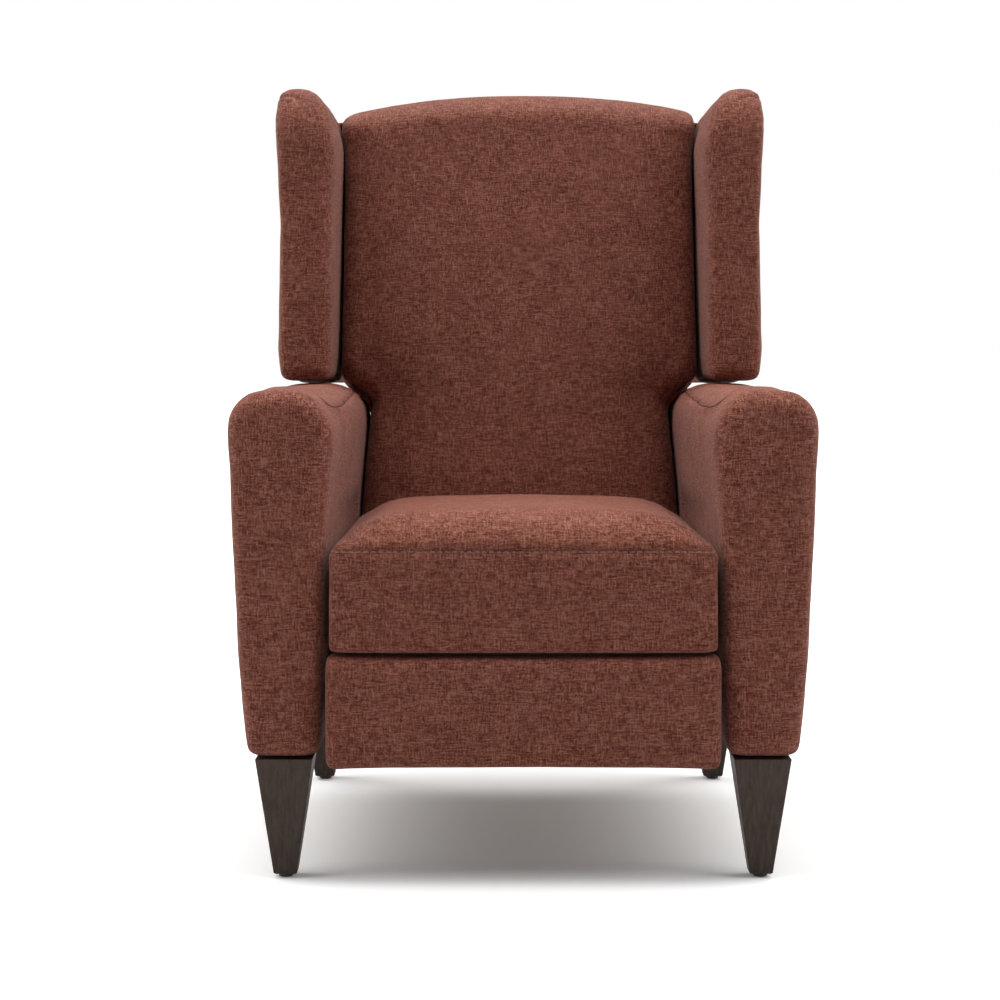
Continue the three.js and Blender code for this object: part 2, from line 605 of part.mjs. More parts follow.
/** Rings of a seat section from side to side, drawn in at both ends. */
const seatRings = (section) => seatStations.map((u, i) => section.map(([y, z]) => {
  const draw = seatInsets[i] * sideDraw;
  const shoulder = SEAT_SEAM - SEAT_BORDER / 2;
  const lift = Math.max(0, z - shoulder) * (crownShare(u) - 1) * 0.6;
  const forward = portion(y, borderRear, FRONT);
  const rearward = portion(y, SEAT_REAR_Y - SEAT_BORDER, seatRear(SEAT_REAR_TOP));
  const upward = portion(z, cushionFloor, SEAT_REAR_TOP);
  return [u * SEAT_HALF, y + draw * (forward - rearward), z + lift - draw * upward];
}));
piece('seat_border', shape(skin(seatRings(borderSection))), CLOTH());
piece('seat_cushion', shape(skin(seatRings(seatSection))), CLOTH());

// Back frame

const toBack = new THREE.Matrix4().makeTranslation(0, BACK_PIVOT_Y, BACK_PIVOT_Z)
  .multiply(new THREE.Matrix4().makeRotationX(-BACK_LEAN));
/** Moves a solid from the upright back (depth, rise) to its lean in the chair. */
const leaned = (body) => body.transform(toBack.elements);
/** Block in the upright back. */
const backBlock = (...limits) => leaned(block(...limits));
/** Outline seen from the front (x, rise) between two depths of the back. */
function frontPrism(points, depth0, depth1) {
  const outline = new THREE.Shape(points.map(([x, z]) => new THREE.Vector2(x, z)));
  const geometry = new THREE.ExtrudeGeometry(outline, { depth: depth1 - depth0, bevelEnabled: false });
  geometry.rotateX(Math.PI / 2);
  geometry.translate(0, depth1, 0);
  return solid(geometry);
}

const postInner = BACK_LOW_HALF - BACK_POST_WIDTH;
const headRailTop = BACK_TOP - 2 * BACK_RAIL_HEIGHT;
const postRise = headRailTop - BACK_RAIL_HEIGHT - REST_GAP;
const railDepth = BACK_SPLIT + REST_GAP;
const wingRailHalf = WING_FRAME_INNER - REST_GAP;
const stepRailLow = BACK_STEP + BACK_SKIN + REST_GAP;
const stepRailHigh = stepRailLow + BACK_RAIL_HEIGHT;

const backPost = cut(
  backBlock(postInner, BACK_LOW_HALF, BACK_POST_FRONT, BACK_POST_REAR, BACK_FOOT, postRise),
  backBlock(postInner - WELD, BACK_LOW_HALF + WELD, railDepth - REST_GAP, BACK_POST_REAR + WELD,
    stepRailLow - REST_GAP, stepRailHigh + REST_GAP),
  barX(backPivot, postInner - WELD, BACK_LOW_HALF + WELD, BACK_PIN_RADIUS + PIN_RADIUS, 16));
pair('back_post', backPost, PALE_WOOD);
const lowRailHalf = postInner - REST_GAP;
const backRails = [
  ['back_lower_rail', lowRailHalf, BACK_FOOT, BACK_FOOT + BACK_RAIL_HEIGHT],
  ['back_middle_rail', wingRailHalf, stepRailLow, stepRailHigh],
  ['back_upper_rail', wingRailHalf, headRailTop - BACK_RAIL_HEIGHT, headRailTop],
];
for (const [name, half, low, high] of backRails) {
  piece(name, shape(backBlock(-half, half, railDepth, BACK_POST_REAR, low, high)), PALE_WOOD());
}
const strapFront = BACK_POST_FRONT - REST_GAP - STRAP_THICK;
for (const [i, share] of [0.2, 0.42, 0.64, 0.86].entries()) {
  const low = share * postRise - STRAP_WIDTH / 2;
  const strap = backBlock(-BACK_LOW_HALF, BACK_LOW_HALF, strapFront, strapFront + STRAP_THICK,
    low, low + STRAP_WIDTH);
  piece(`back_strap_${i + 1}`, shape(strap), WEBBING());
}

// Steel brackets that hinge the back on the side plates
const bracketTop = [backY(-PLATE_FOOT / 2, BRACKET_RISE), backZ(-PLATE_FOOT / 2, BRACKET_RISE)];
const backBracket = cut(
  sidePrism(stadium(backPivot, bracketTop, BRACKET_WIDTH / 2 - PLATE),
    BACK_LOW_HALF + REST_GAP, backBracketOuter),
  barX(backPivot, BACK_LOW_HALF, backBracketOuter + WELD, BACK_PIN_RADIUS + PIN_PLAY, 16));
pair('back_bracket', backBracket, BLACK_STEEL);

// Wings

const wingRise = (depth, z) => (z - BACK_PIVOT_Z + depth * Math.sin(BACK_LEAN)) / Math.cos(BACK_LEAN);
const wingRearDepth = BACK_SPLIT - REST_GAP;
const wingRearLow = [backPlaneY(wingRearDepth, WING_FLOOR), WING_FLOOR];
const wingRearHigh = [backPlaneY(wingRearDepth, WING_TOP - WING_EDGE / 2), WING_TOP - WING_EDGE / 2];
const wingOutline = rounded([
  [WING_FRONT_LOW, WING_FLOOR, WING_EDGE],
  [...wingRearLow, WING_EDGE / 6],
  [...wingRearHigh, WING_EDGE / 6],
  [WING_FRONT_HIGH + BACK_REAR, WING_TOP, LEG_TOP],
  [WING_FRONT_HIGH - WING_EDGE / 2, WING_TOP - 2 * LEG_TOP, LEG_TOP],
], 5);
/** Wing ring at a distance from the middle of the chair: the top flares outwards and falls inwards. */
const wingRing = (x, inset) => drawnIn(wingOutline, inset).map(([y, z]) => {
  const rise = portion(z, WING_FLOOR, WING_TOP);
  const outward = portion(x, WING_INNER, WING_OUTER);
  const inward = 1 - portion(x, WING_INNER, WING_INNER + WING_SHOULDER);
  const fall = WING_SHOULDER_FALL * inward ** 2 * rise ** 5;
  return [x + WING_FLARE * rise ** 3 * outward, y - fall * Math.tan(BACK_LEAN), z - fall];
});
const wingRings = [
  ...END_SHARES.map(([along, inset]) => wingRing(WING_INNER + along * WING_EDGE, inset * WING_EDGE)),
  wingRing(WING_INNER + WING_SHOULDER * 0.5, 0),
  wingRing(WING_INNER + WING_SHOULDER * 0.75, 0),
  ...END_SHARES.slice().reverse().map(([along, inset]) =>
    wingRing(WING_OUTER - along * WING_EDGE, inset * WING_EDGE * 0.7)),
];
const frameLowFront = [WING_FRONT_LOW + WING_FRAME_MARGIN, WING_FLOOR + WING_FRAME_MARGIN];
const frameHighFront = [WING_FRONT_HIGH + 2 * WING_FRAME_MARGIN, WING_TOP - 2 * WING_FRAME_MARGIN];
const frameRearLowRise = wingRise(BACK_POST_REAR, WING_FLOOR) + WING_FRAME_MARGIN;
const frameRearHighRise = headRailTop;
const wingFrameOutline = (gap) => [
  [frameLowFront[0] - gap, frameLowFront[1] - gap],
  [backY(BACK_POST_REAR, frameRearLowRise - gap), backZ(BACK_POST_REAR, frameRearLowRise - gap)],
  [backY(BACK_POST_REAR, frameRearHighRise + gap), backZ(BACK_POST_REAR, frameRearHighRise + gap)],
  [frameHighFront[0] - gap, frameHighFront[1] + gap],
];
const wingFrame = sidePrism(wingFrameOutline(0), WING_FRAME_INNER, WING_FRAME_INNER + WING_FRAME_THICK);
const wingSlot = sidePrism(wingFrameOutline(REST_GAP), WING_FRAME_INNER - REST_GAP,
  WING_FRAME_INNER + WING_FRAME_THICK + REST_GAP);
pair('wing_frame', wingFrame, PALE_WOOD);
pair('wing_pad', cut(skin(wingRings), wingSlot), CLOTH);

// Back cushion

const cushionGap = 3 * REST_GAP;
const lowHalf = BACK_LOW_HALF - cushionGap;
const topZ = backZ(BACK_CUSHION_REAR, BACK_TOP) - WING_EDGE;
const footZ = backZ(BACK_LUMBAR, BACK_FOOT);
const rearFall = footZ - backZ(BACK_CUSHION_REAR, BACK_FOOT);
/** The cushion widens over the round inner shoulder of the arms. */
const hugZ = WING_FLOOR - BACK_RAIL_HEIGHT;
const wideZ = WING_FLOOR + WING_EDGE / 2;
/** Front depth of the back cushion at a share of its height. */
const cushionDepth = (share) => lerp(BACK_LUMBAR, BACK_HEAD, THREE.MathUtils.smoothstep(share, 0.15, 1));
/** Above this share of its height the cushion reaches back over the posts. */
const HEAD_SHARE = 0.91;
/** Rings of the cushion: height, half width, share of the thickness by which the front is drawn back. */
const cushionLevels = [
  [footZ, lowHalf, 0.25],
  [lerp(footZ, topZ, 0.02), lowHalf, 0.08],
  [lerp(footZ, topZ, 0.07), lowHalf, 0],
  [lerp(footZ, topZ, 0.2), lowHalf, -0.02],
  [hugZ, lowHalf, 0],
  [lerp(hugZ, wideZ, 0.5), lerp(lowHalf, BACK_HIGH_HALF, 0.25), 0],
  [lerp(hugZ, wideZ, 0.8), lerp(lowHalf, BACK_HIGH_HALF, 0.6), 0],
  [wideZ, BACK_HIGH_HALF, 0],
  [lerp(footZ, topZ, 0.65), BACK_HIGH_HALF, 0],
  [lerp(footZ, topZ, 0.8), BACK_HIGH_HALF, 0],
  [lerp(footZ, topZ, 0.9), BACK_HIGH_HALF, 0.05],
  [lerp(footZ, topZ, 0.92), BACK_HIGH_HALF - PLATE, 0.08],
  [lerp(footZ, topZ, 0.955), BACK_HIGH_HALF - 2 * PLATE, 0.22],
  [lerp(footZ, topZ, 0.985), BACK_HIGH_HALF - WING_EDGE, 0.5],
  [topZ, BACK_HIGH_HALF - 2 * WING_EDGE, 0.92],
];
const acrossShares = [-1, -0.94, -0.8, -0.5, 0, 0.5, 0.8, 0.94, 1];
const cushionRings = cushionLevels.map(([level, half, draw]) => {
  const share = portion(level, footZ, topZ);
  const fall = rearFall * (1 - portion(level, footZ, hugZ));
  const rear = share > HEAD_SHARE ? wingRearDepth : BACK_CUSHION_REAR;
  const front = cushionDepth(share);
  const row = (pick) => acrossShares.map((u) => {
    const [depth, drop] = pick(Math.abs(u));
    const z = level - drop - BACK_REAR * u * u * share ** 6;
    return [u * half, backPlaneY(depth, z), z];
  });
  return [
    ...row((u) => [front + (rear - front) * (draw + 0.14 * u ** 4 * (1 - draw)), 0]),
    ...row(() => [rear, fall]).reverse(),
  ];
});
piece('back_cushion', shape(skin(cushionRings)), CLOTH());

// Outside back: tray of padded cloth board over the rear of the frame

const wingHalf = WING_OUTER + WING_FLARE / 2;
const crest = (x) => BACK_TOP - WING_EDGE / 4 - BACK_RAIL_HEIGHT * (x / BACK_HIGH_HALF) ** 2 * 0.85;
const crestShares = [-1, -0.85, -0.6, -0.3, 0, 0.3, 0.6, 0.85, 1];
/** Rear outline (x, rise), drawn in by a wall. */
const rearOutline = (wall) => {
  const high = wingHalf - wall;
  const low = BACK_LOW_HALF + (wall ? REST_GAP : 0);
  const top = crest(BACK_HIGH_HALF) - wall;
  const arc = crestShares.map((u) => [u * BACK_HIGH_HALF, crest(u * BACK_HIGH_HALF) - wall]);
  return [
    [-low, BACK_FOOT - (wall ? WELD : 0)],
    [-low, BACK_STEP + wall],
    [-high, BACK_STEP + wall],
    [-high, top - WING_EDGE],
    [-high + WING_EDGE, top],
    ...arc,
    [high - WING_EDGE, top],
    [high, top - WING_EDGE],
    [high, BACK_STEP + wall],
    [low, BACK_STEP + wall],
    [low, BACK_FOOT - (wall ? WELD : 0)],
  ].reverse();
};
const tray = cut(
  frontPrism(rearOutline(0), BACK_SPLIT, BACK_REAR),
  frontPrism(rearOutline(BACK_SKIN), BACK_SPLIT - WELD, BACK_REAR - BACK_SKIN));
piece('outside_back', shape(leaned(tray)), CLOTH());

export default group;
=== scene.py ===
"""Wingback recliner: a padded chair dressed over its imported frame.

Metres, +Z up, the chair faces -Y and stands on the floor at z = 0.
Padded pieces are built as closed forms, swollen like cloth over filling, then seamed.
"""
import logging
import math
from dataclasses import dataclass
from enum import Enum
from typing import Callable, ClassVar, Sequence

import bpy
import numpy as np
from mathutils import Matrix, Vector
from mathutils.bvhtree import BVHTree


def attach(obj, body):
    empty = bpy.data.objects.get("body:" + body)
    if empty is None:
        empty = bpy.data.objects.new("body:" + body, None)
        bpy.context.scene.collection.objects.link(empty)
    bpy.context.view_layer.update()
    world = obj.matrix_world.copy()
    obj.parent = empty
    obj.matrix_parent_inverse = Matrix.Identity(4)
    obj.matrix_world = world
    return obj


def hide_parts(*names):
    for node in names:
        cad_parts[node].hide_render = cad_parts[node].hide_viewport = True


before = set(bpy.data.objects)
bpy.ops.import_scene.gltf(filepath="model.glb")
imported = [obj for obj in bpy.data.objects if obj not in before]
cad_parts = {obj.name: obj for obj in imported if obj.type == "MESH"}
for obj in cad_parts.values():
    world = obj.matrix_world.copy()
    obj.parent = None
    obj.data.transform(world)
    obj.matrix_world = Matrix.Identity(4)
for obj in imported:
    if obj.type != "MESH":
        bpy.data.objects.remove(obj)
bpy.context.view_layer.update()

Flat = tuple[float, float]
Colour = tuple[float, float, float]
Point = tuple[float, float, float]
Corner = tuple[float, float, float]
Ring = list[Point]
Weigh = Callable[[np.ndarray], np.ndarray]

LOG = logging.getLogger("wingback_recliner")


class Side(Enum):
    """The chair's two sides, as seen from its front: right is +X."""

    RIGHT = 1
    LEFT = -1

    @property
    def label(self) -> str:
        """Word used at the end of piece and node names."""
        return self.name.lower()


# Outlines and smooth steps


def rounded(corners: Sequence[Corner], steps: int = 8) -> list[Flat]:
    """Polygon with every corner rounded by its own radius.

    Args:
        corners: Points in order, each with its radius.
        steps: Segments of each rounding.

    Returns:
        The points of the rounded outline, in the same order.
    """
    points: list[Flat] = []
    count = len(corners)
    for i, (u, v, radius) in enumerate(corners):
        corner = Vector((u, v))
        before = (Vector(corners[i - 1][:2]) - corner).normalized()
        after = (Vector(corners[(i + 1) % count][:2]) - corner).normalized()
        half = math.acos(max(-1.0, min(1.0, before.dot(after)))) / 2
        centre = corner + (before + after).normalized() * (radius / math.sin(half))
        start = corner + before * (radius / math.tan(half)) - centre
        end = corner + after * (radius / math.tan(half)) - centre
        turn = math.atan2(start.x * end.y - start.y * end.x, start.dot(end))
        for k in range(steps + 1):
            angle = turn * k / steps
            spoke = (start.x * math.cos(angle) - start.y * math.sin(angle),
                     start.x * math.sin(angle) + start.y * math.cos(angle))
            points.append((centre.x + spoke[0], centre.y + spoke[1]))
    return points


def spaced(outline: Sequence[Flat], count: int) -> list[Flat]:
    """The same closed outline with evenly spaced points.

    Args:
        outline: Points of a closed outline.
        count: Number of points wanted.

    Returns:
        Points at equal distances along the outline, from its first point.
    """
    path = np.array(list(outline) + [outline[0]])
    walked = np.concatenate([[0.0], np.cumsum(np.linalg.norm(np.diff(path, axis=0), axis=1))])
    wanted = np.linspace(0.0, walked[-1], count, endpoint=False)
    return list(zip(np.interp(wanted, walked, path[:, 0]), np.interp(wanted, walked, path[:, 1])))


def drawn_in(outline: Sequence[Flat], distance: float) -> list[Flat]:
    """Closed outline moved inwards by a distance, square to its own line.

    Args:
        outline: Points of a closed outline.
        distance: How far it moves in.

    Returns:
        The moved points, in the same order.
    """
    points = np.array(outline)
    ahead = np.roll(points, -1, axis=0) - np.roll(points, 1, axis=0)
    ahead /= np.linalg.norm(ahead, axis=1, keepdims=True).clip(1e-12)
    after = np.roll(points, -1, axis=0)
    turn = np.sign((points[:, 0] * after[:, 1] - points[:, 1] * after[:, 0]).sum())
    inward = np.stack([-ahead[:, 1], ahead[:, 0]], axis=1) * turn
    return [tuple(p) for p in points + inward * distance]


def step(value: float, start: float, end: float) -> float:
    """Smooth share of the way from start to end, held between 0 and 1."""
    share = max(0.0, min(1.0, (value - start) / (end - start)))
    return share * share * (3 - 2 * share)


def mix(a: float, b: float, share: float) -> float:
    """Value at a share of the way from a to b."""
    return a + (b - a) * share


def edge_stations(radius: float, steps: int = 7) -> list[Flat]:
    """Stations of a rounded edge: distance behind the face, and distance drawn in there."""
    angles = [math.pi / 2 * k / steps for k in range(steps + 1)]
    return [(radius * (1 - math.sin(a)), radius * (1 - math.cos(a))) for a in reversed(angles)]


# Finishes


def feed(tree: bpy.types.NodeTree, target: bpy.types.NodeSocket, value: object) -> None:
    """Links a socket to another one, or sets its value.

    Args:
        tree: Node tree of both sockets.
        target: Socket that takes the value.
        value: Another socket, a number or a colour.
    """
    if isinstance(value, bpy.types.NodeSocket):
        tree.links.new(value, target)
    else:
        target.default_value = value


def sum_node(tree: bpy.types.NodeTree, operation: str, *values: object) -> bpy.types.NodeSocket:
    """One sum in a node tree.

    Args:
        tree: Node tree that takes the sum.
        operation: Kind of sum.
        values: Sockets or numbers that it works on.

    Returns:
        The socket with the result.
    """
    node = tree.nodes.new("ShaderNodeMath")
    node.operation = operation
    for socket, value in zip(node.inputs, values):
        feed(tree, socket, value)
    return node.outputs[0]


class NodeSheet:
    """A material whose node tree is written line by line."""

    def __init__(self, name: str) -> None:
        """Starts an empty material with its surface shader.

        Args:
            name: Name of the material.
        """
        self.material = bpy.data.materials.new(name)
        self.material.use_nodes = True
        self.tree = self.material.node_tree
        self.nodes = self.tree.nodes
        self.nodes.clear()
        output = self.nodes.new("ShaderNodeOutputMaterial")
        self.surface = self.nodes.new("ShaderNodeBsdfPrincipled")
        self.put(output.inputs["Surface"], self.surface.outputs["BSDF"])

    def put(self, target: bpy.types.NodeSocket, value: object) -> None:
        """Links a socket of this material to another one, or sets its value."""
        feed(self.tree, target, value)

    def set_surface(self, name: str, value: object) -> None:
        """Links or sets one input of the surface."""
        self.put(self.surface.inputs[name], value)

    def math(self, operation: str, *values: object) -> bpy.types.NodeSocket:
        """Result of one sum on sockets or numbers."""
        return sum_node(self.tree, operation, *values)

    def blend(self, *parts: tuple[bpy.types.NodeSocket, float]) -> bpy.types.NodeSocket:
        """Sum of values, each times its own share.

        Args:
            parts: Pairs of a value and its share.

        Returns:
            The socket with the sum.
        """
        total = self.math("MULTIPLY", *parts[0])
        for value, share in parts[1:]:
            total = self.math("ADD", total, self.math("MULTIPLY", value, share))
        return total

    def span(self, value: object, low: float, high: float,
             start: float, end: float) -> bpy.types.NodeSocket:
        """Value moved from the span low..high to start..end, and held there.

        Args:
            value: Socket or number that is moved.
            low: Start of its own span.
            high: End of its own span.
            start: Result at low.
            end: Result at high.

        Returns:
            The socket with the result.
        """
        node = self.nodes.new("ShaderNodeMapRange")
        node.clamp = True
        for name, given in (("Value", value), ("From Min", low), ("From Max", high),
                            ("To Min", start), ("To Max", end)):
            self.put(node.inputs[name], given)
        return node.outputs["Result"]

    def noise(self, place: object, detail: float = 2.0, rough: float = 0.5) -> bpy.types.NodeSocket:
        """Soft noise with features one unit across, from 0 to 1.

        Args:
            place: Socket with the place in the noise.
            detail: Layers of finer noise.
            rough: Strength of each finer layer.

        Returns:
            The socket with the noise.
        """
        node = self.nodes.new("ShaderNodeTexNoise")
        node.inputs["Scale"].default_value = 1.0
        node.inputs["Detail"].default_value = detail
        node.inputs["Roughness"].default_value = rough
        self.put(node.inputs["Vector"], place)
        return node.outputs["Fac"]

    def place(self, u: object, v: object, w: object = 0.0) -> bpy.types.NodeSocket:
        """Vector from three numbers.

        Args:
            u: First socket or number.
            v: Second one.
            w: Third one.

        Returns:
            The socket with the vector.
        """
        node = self.nodes.new("ShaderNodeCombineXYZ")
        for socket, value in zip(node.inputs, (u, v, w)):
            self.put(socket, value)
        return node.outputs[0]

    def parts(self, output: str) -> list[bpy.types.NodeSocket]:
        """The three numbers of one of the texture coordinates.

        Args:
            output: Name of the coordinate.

        Returns:
            Sockets with its three numbers.
        """
        source = self.nodes.new("ShaderNodeTexCoord")
        split = self.nodes.new("ShaderNodeSeparateXYZ")
        self.put(split.inputs[0], source.outputs[output])
        return list(split.outputs)

    def stretched(self, ways: Sequence[float]) -> bpy.types.NodeSocket:
        """Place on the piece, each of its three ways times its own number."""
        return self.place(*[self.math("MULTIPLY", s, k) for s, k in zip(self.parts("Object"), ways)])

    def ramp(self, value: bpy.types.NodeSocket,
             stops: Sequence[tuple[float, Colour]]) -> bpy.types.NodeSocket:
        """Colour along a ramp of stops.

        Args:
            value: Socket with the place along the ramp.
            stops: Places, each with its colour.

        Returns:
            The socket with the colour.
        """
        node = self.nodes.new("ShaderNodeValToRGB")
        band = node.color_ramp
        while len(band.elements) < len(stops):
            band.elements.new(0.5)
        for element, (position, colour) in zip(band.elements, stops):
            element.position = position
            element.color = (*colour, 1.0)
        self.put(node.inputs["Fac"], value)
        return node.outputs["Color"]

    def bump(self, height: bpy.types.NodeSocket, distance: float, strength: float = 1.0) -> None:
        """Relief of the surface from a height.

        Args:
            height: Socket with the height, about 0 to 1.
            distance: Height of the relief in metres.
            strength: Share of the relief that shows.
        """
        node = self.nodes.new("ShaderNodeBump")
        node.inputs["Strength"].default_value = strength
        node.inputs["Distance"].default_value = distance
        self.put(node.inputs["Height"], height)
        self.set_surface("Normal", node.outputs["Normal"])


@dataclass(frozen=True)
class WovenCloth:
    """Heathered brick red upholstery weave with slubs both ways."""

    shade: Colour = (0.078, 0.0190, 0.0110)
    ground: Colour = (0.180, 0.0515, 0.0330)
    light: Colour = (0.37, 0.147, 0.101)
    thread: float = 0.0013
    slub: float = 0.0130
    stops: tuple[float, float, float] = (0.385, 0.49, 0.605)
    thread_share: float = 0.30
    grain_share: float = 0.50
    cloud_share: float = 0.08
    lattice_share: float = 0.045
    pale_slub_share: float = 0.14
    dark_slub_share: float = 0.12
    darkening: float = 0.09
    relief: float = 0.0016
    sheen: float = 0.13
    sheen_tint: Colour = (1.0, 0.82, 0.76)

    def material(self) -> bpy.types.Material:
        """Weave laid flat on each face by the way it looks, warp upright.

        Returns:
            The material, used by every padded piece.
        """
        sheet = NodeSheet("brick_weave")
        x, y, z = sheet.parts("Object")
        facing = [sheet.math("ABSOLUTE", s) for s in sheet.parts("Normal")]
        sideways = sheet.math("GREATER_THAN", facing[0], sheet.math("MAXIMUM", facing[1], facing[2]))
        upwards = sheet.math("GREATER_THAN", facing[2], sheet.math("MAXIMUM", facing[0], facing[1]))
        along = sheet.math("ADD", sheet.math("MULTIPLY", y, sideways),
                           sheet.math("MULTIPLY", x, sheet.math("SUBTRACT", 1.0, sideways)))
        up = sheet.math("ADD", sheet.math("MULTIPLY", y, upwards),
                        sheet.math("MULTIPLY", z, sheet.math("SUBTRACT", 1.0, upwards)))
        fine, long = 1 / self.thread, 1 / self.slub

        def pattern(across: float, down: float, seed: float, detail: float = 1.0) -> bpy.types.NodeSocket:
            """Noise stretched over the cloth, scaled on each of its ways."""
            spot = sheet.place(sheet.math("MULTIPLY", along, across), sheet.math("MULTIPLY", up, down), seed)
            return sheet.noise(spot, detail)

        def slubs(across: float, down: float, seed: float) -> bpy.types.NodeSocket:
            """Sparse marks where the stretched noise is strong."""
            return sheet.span(pattern(across, down, seed), 0.60, 0.80, 0.0, 1.0)

        warp = pattern(fine, long, 3.1)
        weft = pattern(long, fine, 7.7)
        grain = pattern(fine * 0.95, fine * 0.95, 1.3, 1.5)
        upright = slubs(fine * 0.8, long * 0.7, 12.4)
        level = slubs(long * 0.7, fine * 0.8, 15.9)
        dark = slubs(long * 1.4, fine * 0.8, 21.7)
        cloud = pattern(26.0, 20.0, 5.2, 3.0)
        wander = sheet.math("MULTIPLY", pattern(60.0, 60.0, 31.0), 2.2)
        lines = math.pi * fine * 0.82
        cross = [sheet.math("SINE", sheet.math("ADD", sheet.math("MULTIPLY", way, lines), wander))
                 for way in (along, up)]
        lattice = sheet.math("MULTIPLY", cross[0], cross[1])
        woven = sheet.blend((warp, self.thread_share), (weft, self.thread_share), (grain, self.grain_share),
                            (cloud, self.cloud_share), (lattice, self.lattice_share))
        woven = sheet.math("SUBTRACT", woven, self.darkening)
        lit = sheet.math("MULTIPLY", sheet.math("ADD", upright, level), self.pale_slub_share)
        shaded = sheet.math("MULTIPLY", dark, self.dark_slub_share)
        woven = sheet.math("ADD", woven, sheet.math("SUBTRACT", lit, shaded))
        colour = sheet.ramp(woven, list(zip(self.stops, (self.shade, self.ground, self.light))))
        sheet.set_surface("Base Color", colour)
        sheet.set_surface("Roughness", sheet.span(woven, 0.3, 0.7, 0.94, 0.78))
        sheet.set_surface("Sheen Weight", self.sheen)
        sheet.set_surface("Sheen Roughness", 0.45)
        sheet.set_surface("Sheen Tint", (*self.sheen_tint, 1.0))
        sheet.set_surface("Specular IOR Level", 0.15)
        sheet.bump(woven, self.relief, 0.55)
        return sheet.material


@dataclass(frozen=True)
class Wood:
    """Sawn or turned wood with grain along one way."""

    name: str
    dark: Colour
    light: Colour
    roughness: float
    upright: bool = True
    shine: float = 0.5

    def ways(self, along: float, across: float) -> tuple[float, float, float]:
        """Scale of a noise on each way, with its own one along the grain."""
        return (across, across, along) if self.upright else (along, across, across)

    def material(self) -> bpy.types.Material:
        """Grain of long streaks with fine pores.

        Returns:
            The material.
        """
        sheet = NodeSheet(self.name)
        streak = sheet.noise(sheet.stretched(self.ways(9.0, 260.0)), 3.0, 0.6)
        pore = sheet.noise(sheet.stretched(self.ways(60.0, 1500.0)), 1.0)
        grain = sheet.blend((streak, 0.75), (pore, 0.25))
        sheet.set_surface("Base Color", sheet.ramp(grain, [(0.34, self.dark), (0.64, self.light)]))
        low = max(0.05, self.roughness - 0.1)
        sheet.set_surface("Roughness", sheet.span(grain, 0.3, 0.7, self.roughness + 0.08, low))
        sheet.set_surface("Specular IOR Level", self.shine)
        sheet.bump(grain, 0.0004, 0.5)
        return sheet.material


@dataclass(frozen=True)
class Speckled:
    """Even finish with fine speckle and light wear: paint, wire, plastic or webbing."""

    name: str
    dark: Colour
    light: Colour
    roughness: float
    metallic: float = 0.0
    grain: float = 0.0012
    stretch: float = 1.0
    relief: float = 0.0001

    def material(self) -> bpy.types.Material:
        """Speckle stretched along X where the finish is drawn or woven.

        Returns:
            The material.
        """
        sheet = NodeSheet(self.name)
        fine = 1 / self.grain
        speck = sheet.noise(sheet.stretched((fine / self.stretch, fine, fine)), 3.0)
        wear = sheet.noise(sheet.stretched((35.0, 35.0, 35.0)), 3.0)
        shade = sheet.blend((speck, 0.6), (wear, 0.4))
        sheet.set_surface("Base Color", sheet.ramp(shade, [(0.35, self.dark), (0.65, self.light)]))
        rough = sheet.span(shade, 0.3, 0.7, self.roughness + 0.08, self.roughness - 0.08)
        sheet.set_surface("Roughness", rough)
        sheet.set_surface("Metallic", self.metallic)
        sheet.bump(speck, self.relief, 0.6)
        return sheet.material


@dataclass(frozen=True)
class SewingThread:
    """Twisted thread of the seams, a tone off the cloth."""

    name: str
    colour: Colour

    def material(self) -> bpy.types.Material:
        """Thread with the bands of its twist, its colour painted darker as shade in the twist's grooves.

        Returns:
            The material.
        """
        sheet = NodeSheet(self.name)
        x, y, z = sheet.parts("Object")
        total = sheet.math("ADD", x, sheet.math("ADD", y, z))
        turns = sheet.math("SINE", sheet.math("MULTIPLY", total, 9000.0))
        # Painted shade: the twist's grooves, low in the bump below, get a darker copy of the thread's colour
        deep = tuple(0.6 * c for c in self.colour)
        band = sheet.span(turns, -1.0, 1.0, 0.0, 1.0)
        sheet.set_surface("Base Color", sheet.ramp(band, [(0.2, deep), (0.8, self.colour)]))
        sheet.set_surface("Roughness", sheet.span(turns, -1.0, 1.0, 0.8, 0.65))
        sheet.bump(turns, 0.0001, 0.5)
        return sheet.material


class Finishes:
    """Every finish of the chair, made once."""

    def __init__(self) -> None:
        """Makes the materials for all slots."""
        self.cloth = WovenCloth().material()
        self.leg_wood = Wood("espresso_wood", (0.040, 0.025, 0.018), (0.078, 0.054, 0.043),
                             roughness=0.5, shine=0.2).material()
        self.rail_wood = Wood("plain_board", (0.30, 0.19, 0.10), (0.50, 0.35, 0.20),
                              roughness=0.7, upright=False).material()
        self.nylon = Speckled("black_nylon", (0.008, 0.008, 0.008), (0.02, 0.02, 0.02),
                              roughness=0.5).material()
        self.steel = Speckled("black_steel_paint", (0.01, 0.01, 0.011), (0.03, 0.03, 0.032),
                              roughness=0.42, metallic=0.3).material()
        self.wire = Speckled("spring_wire", (0.28, 0.28, 0.29), (0.52, 0.52, 0.53),
                             roughness=0.38, metallic=1.0).material()
        self.webbing = Speckled("elastic_webbing", (0.02, 0.02, 0.022), (0.075, 0.075, 0.08),
                                roughness=0.85, grain=0.0015, stretch=12.0, relief=0.0004).material()
        self.dark_thread = SewingThread("dark_thread", (0.095, 0.028, 0.019)).material()
        self.pale_thread = SewingThread("pale_thread", (0.46, 0.27, 0.21)).material()


# Padded forms


def linked_object(name: str, data: bpy.types.ID) -> bpy.types.Object:
    """New object of the scene that shows some data.

    Args:
        name: Name of the object.
        data: Mesh, light or camera.

    Returns:
        The object, linked to the scene.
    """
    item = bpy.data.objects.new(name, data)
    bpy.context.scene.collection.objects.link(item)
    return item


